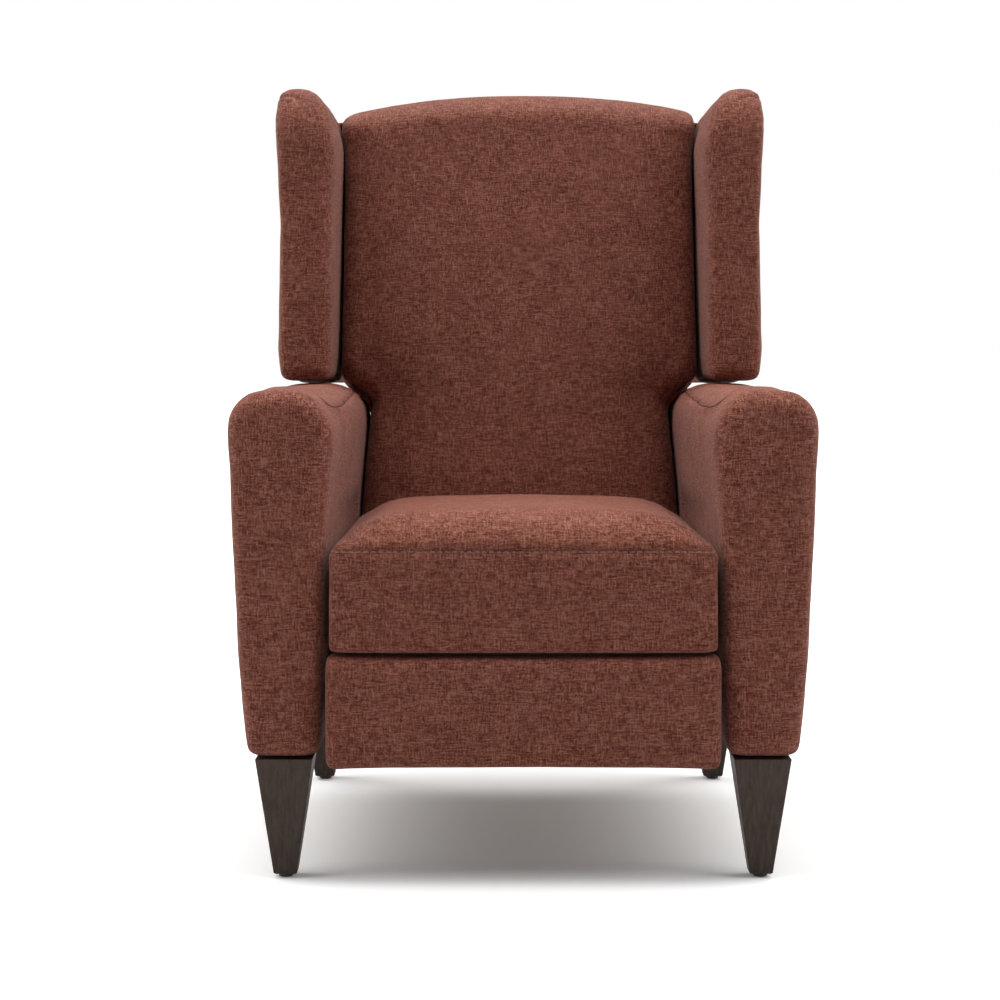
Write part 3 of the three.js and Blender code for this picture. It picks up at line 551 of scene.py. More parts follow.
def coordinates(mesh: bpy.types.Mesh) -> np.ndarray:
    """Places of a mesh's points.

    Args:
        mesh: Mesh that is read.

    Returns:
        One row of three numbers for each point.
    """
    flat = np.empty(len(mesh.vertices) * 3, np.float32)
    mesh.vertices.foreach_get("co", flat)
    return flat.reshape(-1, 3)


def mesh_piece(name: str, points: Sequence[Sequence[float]], faces: Sequence[Sequence[int]],
               finish: bpy.types.Material) -> bpy.types.Object:
    """Smooth-shaded mesh object from points and faces.

    Args:
        name: Name of the piece.
        points: Places of the vertices.
        faces: Vertex numbers of each face.
        finish: Material for the whole piece.

    Returns:
        The object, linked to the scene.
    """
    mesh = bpy.data.meshes.new(name)
    mesh.from_pydata([tuple(p) for p in points], [], [tuple(f) for f in faces])
    mesh.materials.append(finish)
    mesh.shade_smooth()
    return linked_object(name, mesh)


def skin(rings: Sequence[Ring]) -> tuple[list[Point], list[list[int]]]:
    """Closed skin over rings of equal length, with a fan at each end.

    Args:
        rings: Rings in order from one end to the other.

    Returns:
        Points and faces; all faces look outwards.
    """
    size = len(rings[0])
    points = [p for ring in rings for p in ring]
    faces = []
    for r in range(len(rings) - 1):
        for i in range(size):
            a, b = r * size + i, r * size + (i + 1) % size
            faces.append([a, b, b + size, a + size])
    for start, order in ((0, -1), ((len(rings) - 1) * size, 1)):
        hub = len(points)
        points.append(tuple(np.mean(rings[start // size], axis=0)))
        for i in range(size):
            fan = [start + i, start + (i + 1) % size, hub]
            faces.append(fan[::order])
    corners = np.array(points)
    volume = sum(np.dot(corners[f[0]], np.cross(corners[f[i]], corners[f[i + 1]]))
                 for f in faces for i in range(1, len(f) - 1))
    return points, faces if volume > 0 else [f[::-1] for f in faces]


class Surface:
    """Points, edges and normals of a mesh held as arrays while it is shaped."""

    BATCH: ClassVar[int] = 4000
    REGAIN: ClassVar[float] = 1.02

    def __init__(self, piece: bpy.types.Object) -> None:
        """Reads the mesh of a piece.

        Args:
            piece: Mesh object that stands at the scene's origin.
        """
        self.piece = piece
        mesh = piece.data
        self.points = coordinates(mesh).astype(float)
        ends = np.empty(len(mesh.edges) * 2, np.int32)
        mesh.edges.foreach_get("vertices", ends)
        self.edges = ends.reshape(-1, 2)

    @property
    def normals(self) -> np.ndarray:
        """Outward direction at every point.

        Returns:
            One row of three numbers for each point.
        """
        found = np.empty(len(self.points) * 3, np.float32)
        self.piece.data.vertex_normals.foreach_get("vector", found)
        return found.reshape(-1, 3).astype(float)

    def write(self) -> None:
        """Puts the points back into the mesh."""
        self.piece.data.vertices.foreach_set("co", self.points.astype(np.float32).ravel())
        self.piece.data.update()

    def averaged(self, values: np.ndarray, rounds: int) -> np.ndarray:
        """Values evened out with those of neighbouring points.

        Args:
            values: One row for each point.
            rounds: How often they are evened out.

        Returns:
            The evened values.
        """
        a, b = self.edges.T
        count = np.bincount(self.edges.ravel(), minlength=len(self.points))[:, None].clip(1)
        for _ in range(rounds):
            sums = [np.bincount(a, values[b, k], len(values)) + np.bincount(b, values[a, k], len(values))
                    for k in range(values.shape[1])]
            values = 0.5 * values + 0.5 * np.stack(sums, axis=1) / count
        return values

    def relax(self, rounds: int) -> None:
        """Smooths the surface without letting it shrink much.

        Args:
            rounds: How often it is smoothed.
        """
        for _ in range(rounds):
            eased = self.averaged(self.points, 1)
            self.points = eased + (eased - self.averaged(eased, 1)) * self.REGAIN
        self.write()

    def nearest(self, line: np.ndarray, reach: float) -> tuple[np.ndarray, np.ndarray, np.ndarray]:
        """Points near a line.

        Args:
            line: Points along the line, close together.
            reach: Furthest distance that counts.

        Returns:
            Numbers of the points, their distances, and the line point nearest to each.
        """
        low, high = line.min(0) - reach, line.max(0) + reach
        inside = np.flatnonzero(((self.points >= low) & (self.points <= high)).all(1))
        gaps = np.empty(len(inside))
        owner = np.empty(len(inside), int)
        for begin in range(0, len(inside), self.BATCH):
            batch = slice(begin, begin + self.BATCH)
            spread = np.linalg.norm(self.points[inside[batch]][:, None] - line[None], axis=2)
            owner[batch] = spread.argmin(1)
            gaps[batch] = spread.min(1)
        near = gaps < reach
        return inside[near], gaps[near], owner[near]


@dataclass
class PaddedForm:
    """A stuffed piece: closed rings, remeshed evenly, swollen like cloth, then refined."""

    name: str
    rings: Sequence[Ring]
    cap: float = 0.006
    voxel: float = 0.0075
    pressure: float = 4.0
    firmness: float = 0.9
    frames: int = 20
    quality: int = 4
    smoothing: int = 3
    evening: int = 6
    hold: Weigh | None = None

    def build(self, finish: bpy.types.Material) -> bpy.types.Object:
        """Makes the piece.

        Args:
            finish: Material for the whole piece.

        Returns:
            The finished mesh object.
        """
        piece = mesh_piece(self.name, *skin(self.rings), finish)
        self.modified(piece, "REMESH", mode="VOXEL", voxel_size=self.voxel)
        Surface(piece).relax(self.smoothing)
        self.swell(piece)
        self.modified(piece, "SUBSURF", levels=1, render_levels=1)
        piece.data.shade_smooth()
        return piece

    def modified(self, piece: bpy.types.Object, kind: str, **settings: object) -> None:
        """Runs one modifier and keeps its result as the mesh.

        Args:
            piece: Piece that is changed.
            kind: Kind of modifier.
            settings: Settings of the modifier.
        """
        modifier = piece.modifiers.new(kind.lower(), kind)
        for name, value in settings.items():
            setattr(modifier, name, value)
        graph = bpy.context.evaluated_depsgraph_get()
        result = bpy.data.meshes.new_from_object(piece.evaluated_get(graph))
        piece.modifiers.clear()
        old = piece.data
        piece.data = result
        bpy.data.meshes.remove(old)
        result.name = self.name

    def swell(self, piece: bpy.types.Object) -> None:
        """Blows the cover up over its filling for some frames, and keeps the capped result.

        Args:
            piece: Piece that is changed.
        """
        surface = Surface(piece)
        rest, outward = surface.points.copy(), surface.normals
        cloth = piece.modifiers.new("cloth", "CLOTH")
        cloth.settings.use_pressure = True
        cloth.settings.uniform_pressure_force = self.pressure
        cloth.settings.effector_weights.gravity = 0.0
        cloth.settings.quality = self.quality
        cloth.collision_settings.use_collision = False
        scene = bpy.context.scene
        for number in range(1, self.frames + 1):
            scene.frame_set(number)
        graph = bpy.context.evaluated_depsgraph_get()
        blown = piece.evaluated_get(graph).to_mesh()
        moved = coordinates(blown).astype(float)
        piece.evaluated_get(graph).to_mesh_clear()
        piece.modifiers.clear()
        scene.frame_set(1)
        push = moved - rest
        inward = np.minimum(0.0, (push * outward).sum(1, keepdims=True))
        push -= self.firmness * inward * outward
        length = np.linalg.norm(push, axis=1, keepdims=True).clip(1e-9)
        push *= np.minimum(1.0, self.cap / length)
        if self.hold is not None:
            push *= self.hold(rest)[:, None]
        surface.points = rest + surface.averaged(push, self.evening)
        surface.write()


def mirror_of(piece: bpy.types.Object, name: str) -> bpy.types.Object:
    """Copy of a piece on the other side of the chair.

    Args:
        piece: Mesh object built on the +X side.
        name: Name of the copy.

    Returns:
        The new object, with its faces turned the right way out.
    """
    mesh = piece.data.copy()
    mesh.name = name
    points = coordinates(mesh)
    points[:, 0] *= -1
    mesh.vertices.foreach_set("co", points.ravel())
    mesh.flip_normals()
    mesh.update()
    return linked_object(name, mesh)


@dataclass
class Seam:
    """A sewn line on a padded piece: a groove with puffed lips, and a thread in it."""

    line: np.ndarray
    depth: float = 0.0022
    width: float = 0.0035
    lip: float = 0.0008
    spread: float = 0.009
    lip_share: float = 0.6
    stitch_pitch_share: float = 1.35
    thread_pitch: float = 0.0015
    thread_sides: int = 6

    def press(self, piece: bpy.types.Object) -> None:
        """Draws the cover in along the line and puffs it up beside it.

        Args:
            piece: Piece that carries the seam.
        """
        surface = Surface(piece)
        near, gap, _ = surface.nearest(self.line, 3 * self.spread)
        groove = -self.depth * np.exp(-(gap / self.width) ** 2)
        puff = self.lip * np.exp(-((gap - self.spread) / (self.spread * self.lip_share)) ** 2)
        surface.points[near] += surface.normals[near] * (groove + puff)[:, None]
        surface.write()

    def laid(self, piece: bpy.types.Object, lift: float = 0.0) -> tuple[np.ndarray, np.ndarray]:
        """The line laid on the piece.

        Args:
            piece: Piece that carries the seam.
            lift: Height of the line over the surface.

        Returns:
            The points on the surface and the outward direction at each.
        """
        tree = BVHTree.FromObject(piece, bpy.context.evaluated_depsgraph_get())
        places, ways = [], []
        for p in self.line:
            spot, way, _, _ = tree.find_nearest(Vector(p))
            places.append(spot + way * lift)
            ways.append(way)
        return np.array(places), np.array(ways)

    def thread(self, name: str, piece: bpy.types.Object, finish: bpy.types.Material,
               radius: float, stitch: float = 0.0, lift: float = 0.0) -> bpy.types.Object:
        """Thread along the seam, whole or in stitches.

        Args:
            name: Name of the thread piece.
            piece: Piece that carries the seam.
            finish: Material of the thread.
            radius: Half the thread's thickness.
            stitch: Length of a stitch, or 0 for an unbroken line.
            lift: Height of its middle over the cloth.

        Returns:
            The thread as one mesh object.
        """
        places, ways = self.laid(piece, lift)
        places = smoothed(places, 2)
        walked = np.concatenate([[0.0], np.cumsum(np.linalg.norm(np.diff(places, axis=0), axis=1))])
        spans = [(0.0, walked[-1])]
        if stitch:
            share = self.stitch_pitch_share
            count = int(walked[-1] / (stitch * share))
            spans = [(i * stitch * share, i * stitch * share + stitch) for i in range(count)]
        points: list[np.ndarray] = []
        faces: list[list[int]] = []
        sides = self.thread_sides
        for begin, end in spans:
            count = max(4, int((end - begin) / self.thread_pitch))
            along = np.linspace(begin, end, count)
            middle = np.stack([np.interp(along, walked, places[:, k]) for k in range(3)], axis=1)
            outward = np.stack([np.interp(along, walked, ways[:, k]) for k in range(3)], axis=1)
            ahead = np.gradient(middle, axis=0)
            ahead /= np.linalg.norm(ahead, axis=1, keepdims=True).clip(1e-9)
            across = np.cross(ahead, outward)
            across /= np.linalg.norm(across, axis=1, keepdims=True).clip(1e-9)
            above = np.cross(across, ahead)
            way = np.linspace(-1, 1, count)
            plump = np.sqrt(np.clip(1 - way ** 8, 0.12, 1)) if stitch else np.ones(count)
            dip = (radius * 1.1 * way ** 4)[:, None] if stitch else np.zeros((count, 1))
            base = len(points)
            for k in range(count):
                for s in range(sides):
                    turn = 2 * math.pi * s / sides
                    spoke = across[k] * math.cos(turn) + above[k] * math.sin(turn)
                    points.append(middle[k] - above[k] * dip[k] + spoke * radius * plump[k])
            for k in range(count - 1):
                for s in range(sides):
                    a, b = base + k * sides + s, base + k * sides + (s + 1) % sides
                    faces.append([a, b, b + sides, a + sides])
            last = base + (count - 1) * sides
            faces.append([base + s for s in reversed(range(sides))])
            faces.append([last + s for s in range(sides)])
        return mesh_piece(name, points, faces, finish)


def smoothed(points: np.ndarray, rounds: int) -> np.ndarray:
    """Open line evened out, with its ends kept.

    Args:
        points: Points along the line, changed in place.
        rounds: How often it is evened out.

    Returns:
        The same points.
    """
    for _ in range(rounds):
        points[1:-1] = 0.25 * points[:-2] + 0.5 * points[1:-1] + 0.25 * points[2:]
    return points


def resampled(path: np.ndarray, pitch: float = 0.0012) -> np.ndarray:
    """Open path with a point every pitch, its corners eased.

    Args:
        path: Corners of the path.
        pitch: Distance between the new points.

    Returns:
        The new points.
    """
    walked = np.concatenate([[0.0], np.cumsum(np.linalg.norm(np.diff(path, axis=0), axis=1))])
    wanted = np.linspace(0.0, walked[-1], max(4, int(walked[-1] / pitch)))
    line = np.stack([np.interp(wanted, walked, path[:, k]) for k in range(3)], axis=1)
    return smoothed(line, 12)


def seat_cloth(piece: bpy.types.Object, body: str, nodes: Sequence[str]) -> None:
    """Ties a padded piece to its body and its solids.

    Args:
        piece: The padded piece.
        body: Body that it moves with.
        nodes: Solids that it stands for.
    """
    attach(piece, body)
    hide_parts(*nodes)
    LOG.info("%s: %d faces", piece.name, len(piece.data.polygons))


def hang_thread(piece: bpy.types.Object, body: str) -> None:
    """Ties a seam's thread to the body of its cushion."""
    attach(piece, body)


# Sub-assemblies


@dataclass
class Arm:
    """Padded arm: saddle-topped block that narrows to its foot, with a curved shoulder seam."""

    bottom: float = 0.1584
    top: float = 0.6372
    outer_foot: float = 0.3552
    outer_low: float = 0.3675
    outer_top: float = 0.3835
    inner_foot: float = 0.2625
    inner_waist: float = 0.2552
    inner_top: float = 0.2420
    low_height: float = 0.290
    waist_height: float = 0.465
    front: float = -0.4615
    rear: float = 0.2746
    rear_drop: float = 0.010
    tilt: float = 0.0070
    outer_round: float = 0.046
    inner_round: float = 0.058
    foot_round: float = 0.013
    edge: float = 0.026
    rear_round: float = 0.047
    fullness: float = 0.0085
    inner_side: float = 0.28
    slack: float = 0.0004
    # Spans, each from its start to its end, over which the inner shoulder tightens, the bulge grows with
    # depth, it grows above the seat, and it reaches down behind the seat
    tightens: Flat = (-0.30, -0.02)
    bulge_depths: Flat = (-0.36, -0.10)
    seat_heights: Flat = (0.448, 0.482)
    behind_depths: Flat = (0.025, 0.055)
    behind_heights: Flat = (0.365, 0.405)
    bulge_end: float = 0.60
    drop_share: float = 0.72
    gather_middle: float = -0.32
    gather_reach: float = 0.11
    gather_pitch: float = 0.0135
    gather_rise: float = 0.0013
    patch_rise: float = 0.0016
    # Depth, rise round the shoulder in degrees, and distance outwards over the top
    SEAM_PATH: ClassVar[tuple[Corner, ...]] = (
        (-0.300, 90.0, 0.030), (-0.316, 90.0, 0.014), (-0.334, 86.0, 0.003), (-0.352, 75.0, 0.0),
        (-0.368, 62.0, 0.0), (-0.376, 51.0, 0.0), (-0.374, 42.0, 0.0), (-0.362, 36.0, 0.0),
        (-0.340, 32.0, 0.0), (-0.300, 29.3, 0.0), (-0.240, 28.0, 0.0), (-0.160, 28.3, 0.0),
        (-0.070, 31.0, 0.0), (0.030, 35.5, 0.0), (0.120, 42.0, 0.0), (0.200, 49.0, 0.0), (0.250, 56.0, 0.0))

    def shoulder_at(self, y: float) -> float:
        """Radius of the inner shoulder at a depth: tighter at the rear, beside the back."""
        return mix(self.inner_round, self.rear_round, step(y, *self.tightens))

    def fall_at(self, y: float) -> float:
        """How far the top has fallen at a depth, near the rear."""
        return self.rear_drop * step(y, mix(self.front, self.rear, self.drop_share), self.rear)

    def outline(self, y: float) -> list[Flat]:
        """Front view of the arm at a depth; its inner shoulder is tighter at the rear.

        Args:
            y: Depth in the chair.

        Returns:
            Evenly spaced points (x, z).
        """
        return spaced(rounded([
            (self.inner_foot, self.bottom, self.foot_round),
            (self.outer_foot, self.bottom, self.foot_round),
            (self.outer_low, self.low_height, 0.5),
            (self.outer_top, self.top - self.tilt, self.outer_round),
            (self.inner_top, self.top, self.shoulder_at(y)),
            (self.inner_waist, self.waist_height, 0.4),
        ]), 160)

    def swell(self, y: float, z: float) -> float:
        """How far the inner face bulges: above the seat, and lower down behind it.

        Args:
            y: Depth in the chair.
            z: Height.

        Returns:
            The distance towards the middle of the chair.
        """
        behind = step(y, *self.behind_depths) * step(z, *self.behind_heights)
        high = max(step(z, *self.seat_heights), behind)
        return self.fullness * step(y, *self.bulge_depths) * high * (1 - step(z, self.bulge_end, self.top))

    def inner_at(self, z: float) -> float:
        """Distance of the inner face from the middle at a height, beside the back.

        Args:
            z: Height.

        Returns:
            The distance, with the bulge and the shoulder.
        """
        share = min(1.0, max(0.0, (z - self.waist_height) / (self.top - self.waist_height)))
        over = min(self.rear_round, max(0.0, z - self.top + self.rear_round))
        shoulder = self.rear_round - math.sqrt(self.rear_round ** 2 - over ** 2)
        return mix(self.inner_waist, self.inner_top, share) - self.swell(0.1, z) + shoulder

    def ring(self, y: float, inset: float) -> Ring:
        """Section at a depth, drawn in by a distance; the top falls near the rear.

        Args:
            y: Depth in the chair.
            inset: Distance drawn in.

        Returns:
            The ring's points.
        """
        fall = self.fall_at(y)
        height = self.top - self.bottom
        points = []
        for x, z in drawn_in(self.outline(y), inset + self.slack):
            bulge = self.swell(y, z) * (x < self.inner_side)
            points.append((x - bulge, y, z - fall * (z - self.bottom) / height))
        return points

    def rings(self) -> list[Ring]:
        """Rings from front to rear, with rounded edges at both ends.

        Returns:
            The rings, the front one first.
        """
        ends = edge_stations(self.edge)
        front = [self.ring(self.front + self.slack + behind, inset) for behind, inset in ends]
        rear = [self.ring(self.rear - self.slack - behind, inset) for behind, inset in reversed(ends)]
        body = [self.ring(mix(self.front, self.rear, share), 0.0) for share in np.linspace(0.06, 0.94, 23)]
        return front + body + rear

    def shoulder_line(self) -> np.ndarray:
        """Seam that drops over the inner shoulder behind the front edge and climbs towards the back.

        Returns:
            Points along the seam.
        """
        points = []
        for y, rise, over in self.SEAM_PATH:
            angle = math.radians(rise)
            shoulder = self.shoulder_at(y)
            points.append((self.inner_top + shoulder * (1 - math.cos(angle)) + over, y,
                           self.top - self.fall_at(y) - shoulder * (1 - math.sin(angle))))
        return resampled(np.array(points))

    def gather(self, piece: bpy.types.Object, line: np.ndarray) -> None:
        """Small gathers under the shoulder seam, and the fuller patch above it.

        Args:
            piece: The arm.
            line: Points along the seam.
        """
        surface = Surface(piece)
        near, gap, owner = surface.nearest(line, 0.05)
        point, foot = surface.points[near], line[owner]
        below = (point[:, 2] < foot[:, 2]) & (point[:, 0] < foot[:, 0] + 0.004)
        front = np.exp(-((foot[:, 1] - self.gather_middle) / self.gather_reach) ** 2)
        wander = 1.7 * np.sin(foot[:, 1] * 61.0)
        ripple = np.sin(foot[:, 1] / self.gather_pitch * 2 * math.pi + wander)
        fade = np.exp(-(gap / 0.016) ** 1.5) * (1 - np.exp(-(gap / 0.0035) ** 2))
        puckers = self.gather_rise * ripple * fade * front
        fuller = self.patch_rise * np.exp(-((gap - 0.012) / 0.011) ** 2) * front
        rise = np.where(below, puckers, fuller)
        surface.points[near] += surface.normals[near] * rise[:, None]
        surface.write()

    def build(self, finishes: Finishes) -> None:
        """Makes both arms and their shoulder seams.

        Args:
            finishes: The chair's finishes.
        """
        piece = PaddedForm("arm_right", self.rings(), cap=0.0045, voxel=0.0086).build(finishes.cloth)
        line = self.shoulder_line()
        seam = Seam(line, depth=0.0026, width=0.0032, lip=0.0010, spread=0.008)
        seam.press(piece)
        self.gather(piece, line)
        thread = seam.thread("arm_seam_right", piece, finishes.dark_thread, radius=0.0007)
        other = mirror_of(piece, "arm_left")
        other_thread = mirror_of(thread, "arm_seam_left")
        for side, arm, sewn in ((Side.RIGHT, piece, thread), (Side.LEFT, other, other_thread)):
            seat_cloth(arm, "base", [f"arm_cover_{side.label}"])
            hang_thread(sewn, "base")


@dataclass
class BackPlane:
    """Places on the leaning back: depth is from the pivot plane, rise is along the back."""

    pivot_y: float = 0.200
    pivot_z: float = 0.300
    lean: float = math.radians(16.5)

    def at(self, x: float, depth: float, rise: float) -> Point:
        """Point of the chair at a depth and rise of the back."""
        cos, sin = math.cos(self.lean), math.sin(self.lean)
        return (x, self.pivot_y + depth * cos + rise * sin, self.pivot_z - depth * sin + rise * cos)

    def y_at(self, depth: float, z: float) -> float:
        """Depth in the chair of a plane of the back, at a height."""
        rise = (z - self.pivot_z + depth * math.sin(self.lean)) / math.cos(self.lean)
        return self.at(0.0, depth, rise)[1]


@dataclass
class Wing:
    """Padded wing beside the head: flares at the top, rounds over to the back, pinched outer corner."""

    plane: BackPlane
    floor: float = 0.6350
    sag: float = 0.008
    top: float = 1.0885
    inner: float = 0.2848
    outer: float = 0.3600
    front_low: float = -0.012
    front_bend: float = 0.042
    bend_height: float = 1.005
    top_round: float = 0.084
    rear_depth: float = -0.0246
    edge: float = 0.022
    slack: float = 0.0003

    def outline(self) -> list[Flat]:
        """Front view of the wing, from its inner foot outwards and over the top.

        Returns:
            Evenly spaced points (x, z).
        """
        corners = [
            (self.inner, self.floor, 0.010),
            (self.outer - 0.003, self.floor, 0.013),
            (self.outer, self.floor + 0.045, 0.08),
            (self.outer + 0.0005, 0.870, 0.40),
            (self.outer + 0.0110, self.top - 0.044, 0.06),
            (self.outer + 0.0065, self.top - 0.0045, 0.0095),
            (self.outer - 0.012, self.top + 0.0015, 0.02),
            (self.outer - 0.040, self.top - 0.0025, 0.05),
            (self.inner + 0.012, self.top - 0.030, 0.055),
            (self.inner - 0.002, self.top - 0.085, 0.10),
            (self.inner + 0.0005, 0.900, 0.30),
        ]
        return spaced(rounded(corners, 6), 170)

    def front_at(self, z: float) -> float:
        """Depth of the front face at a height: it leans back and rounds over the top.

        Args:
            z: Height.

        Returns:
            The depth in the chair.
        """
        share = (z - self.floor) / (self.bend_height - self.floor)
        straight = mix(self.front_low, self.front_bend, share)
        over = max(0.0, z - self.bend_height)
        reach = self.top_round
        return straight + reach - math.sqrt(max(0.0, reach * reach - min(over, reach * 0.995) ** 2))

    def ring(self, behind: float, share: float, inset: float) -> Ring:
        """Section between the front face and the rear plane; its foot follows the top of the arm.

        Args:
            behind: Distance behind the place that the share gives.
            share: Share of the way from the front face to the rear plane.
            inset: Distance drawn in.

        Returns:
            The ring's points.
        """
        points = []
        outline = self.outline()
        near = drawn_in(outline, 1.15 * inset + self.slack)
        far = drawn_in(outline, 0.45 * inset + self.slack)
        for (x, z), (outer_x, outer_z) in zip(near, far):
            side = step(outer_x, self.inner + 0.015, self.outer - 0.015)
            x, z = mix(x, outer_x, side), mix(z, outer_z, side)
            front = self.front_at(z) + self.slack
            rear = self.plane.y_at(self.rear_depth, z)
            y = min(mix(front, rear, share) + behind, rear)
            low = z - self.sag * step(y, 0.07, 0.27) * (1 - step(z, self.floor, self.floor + 0.06))
            points.append((x, min(y, self.plane.y_at(self.rear_depth, low)), low))
        return points

    def spine(self) -> Ring:
        """Ring drawn together to the middle line of the front face, which closes it without a hollow.

        Returns:
            The ring's points.
        """
        middle = 0.5 * (self.inner + self.outer)
        heights = [min(self.top - 0.045, max(self.floor + 0.035, z)) for _, z in self.outline()]
        return [(middle, self.front_at(z) + self.slack, z) for z in heights]

    def rings(self) -> list[Ring]:
        """Rings from the front face to the rear plane.

        Returns:
            The rings, the front one first.
        """
        ends = edge_stations(self.edge)
        front = [self.spine()] + [self.ring(behind, 0.0, inset) for behind, inset in ends]
        body = [self.ring(self.edge * (1 - share), share, 0.0) for share in np.linspace(0.08, 0.96, 14)]
        rear = [self.ring(0.0, 1.0, 0.0), self.ring(0.0, 1.0, 0.003)]
        return front + body + rear

    def pinch_line(self) -> np.ndarray:
        """Short sewn fold over the outer top corner, from the side round to the front.

        Returns:
            Points along the fold.
        """
        side, top = self.outer, self.top
        fold = [(side + 0.0085, 0.098, top - 0.0200), (side + 0.0060, 0.090, top - 0.0190),
                (side + 0.0005, 0.086, top - 0.0165), (side - 0.0065, 0.084, top - 0.0165)]
        return resampled(np.array(fold))

    def crease_lines(self) -> list[np.ndarray]:
        """Soft creases: one running on from the fold, one lower down on the outer edge.

        Returns:
            Points along each crease.
        """
        side, top = self.outer, self.top
        upper = [(side - 0.008, 0.084, top - 0.017), (side - 0.016, 0.082, top - 0.021),
                 (side - 0.028, 0.080, top - 0.029), (side - 0.038, 0.078, top - 0.038)]
        lower = [(side + 0.012, 0.075, 1.0250), (side + 0.009, 0.060, 1.0245),
                 (side + 0.002, 0.055, 1.0240), (side - 0.005, 0.054, 1.0255)]
        return [resampled(np.array(line)) for line in (upper, lower)]

    def held(self, points: np.ndarray) -> np.ndarray:
        """The wing swells in front of its rear plane, which lies on the frame."""
        return 0.25 + 0.75 * (points[:, 1] < self.plane.y_at(self.rear_depth, self.floor) - 0.02)

    def build(self, finishes: Finishes) -> None:
        """Makes both wings with their pinched corners.

        Args:
            finishes: The chair's finishes.
        """
        piece = PaddedForm("wing_right", self.rings(), cap=0.0035, voxel=0.0062,
                           hold=self.held).build(finishes.cloth)
        seam = Seam(self.pinch_line(), depth=0.0034, width=0.0036, lip=0.0010, spread=0.009)
        seam.press(piece)
        for line in self.crease_lines():
            Seam(line, depth=0.0012, width=0.0034, lip=0.0004, spread=0.008).press(piece)
        thread = seam.thread("wing_seam_right", piece, finishes.dark_thread,
                             radius=0.0009, stitch=0.0040, lift=0.0002)
        other = mirror_of(piece, "wing_left")
        other_thread = mirror_of(thread, "wing_seam_left")
        for side, wing, sewn in ((Side.RIGHT, piece, thread), (Side.LEFT, other, other_thread)):
            seat_cloth(wing, "back", [f"wing_pad_{side.label}"])
            hang_thread(sewn, "back")


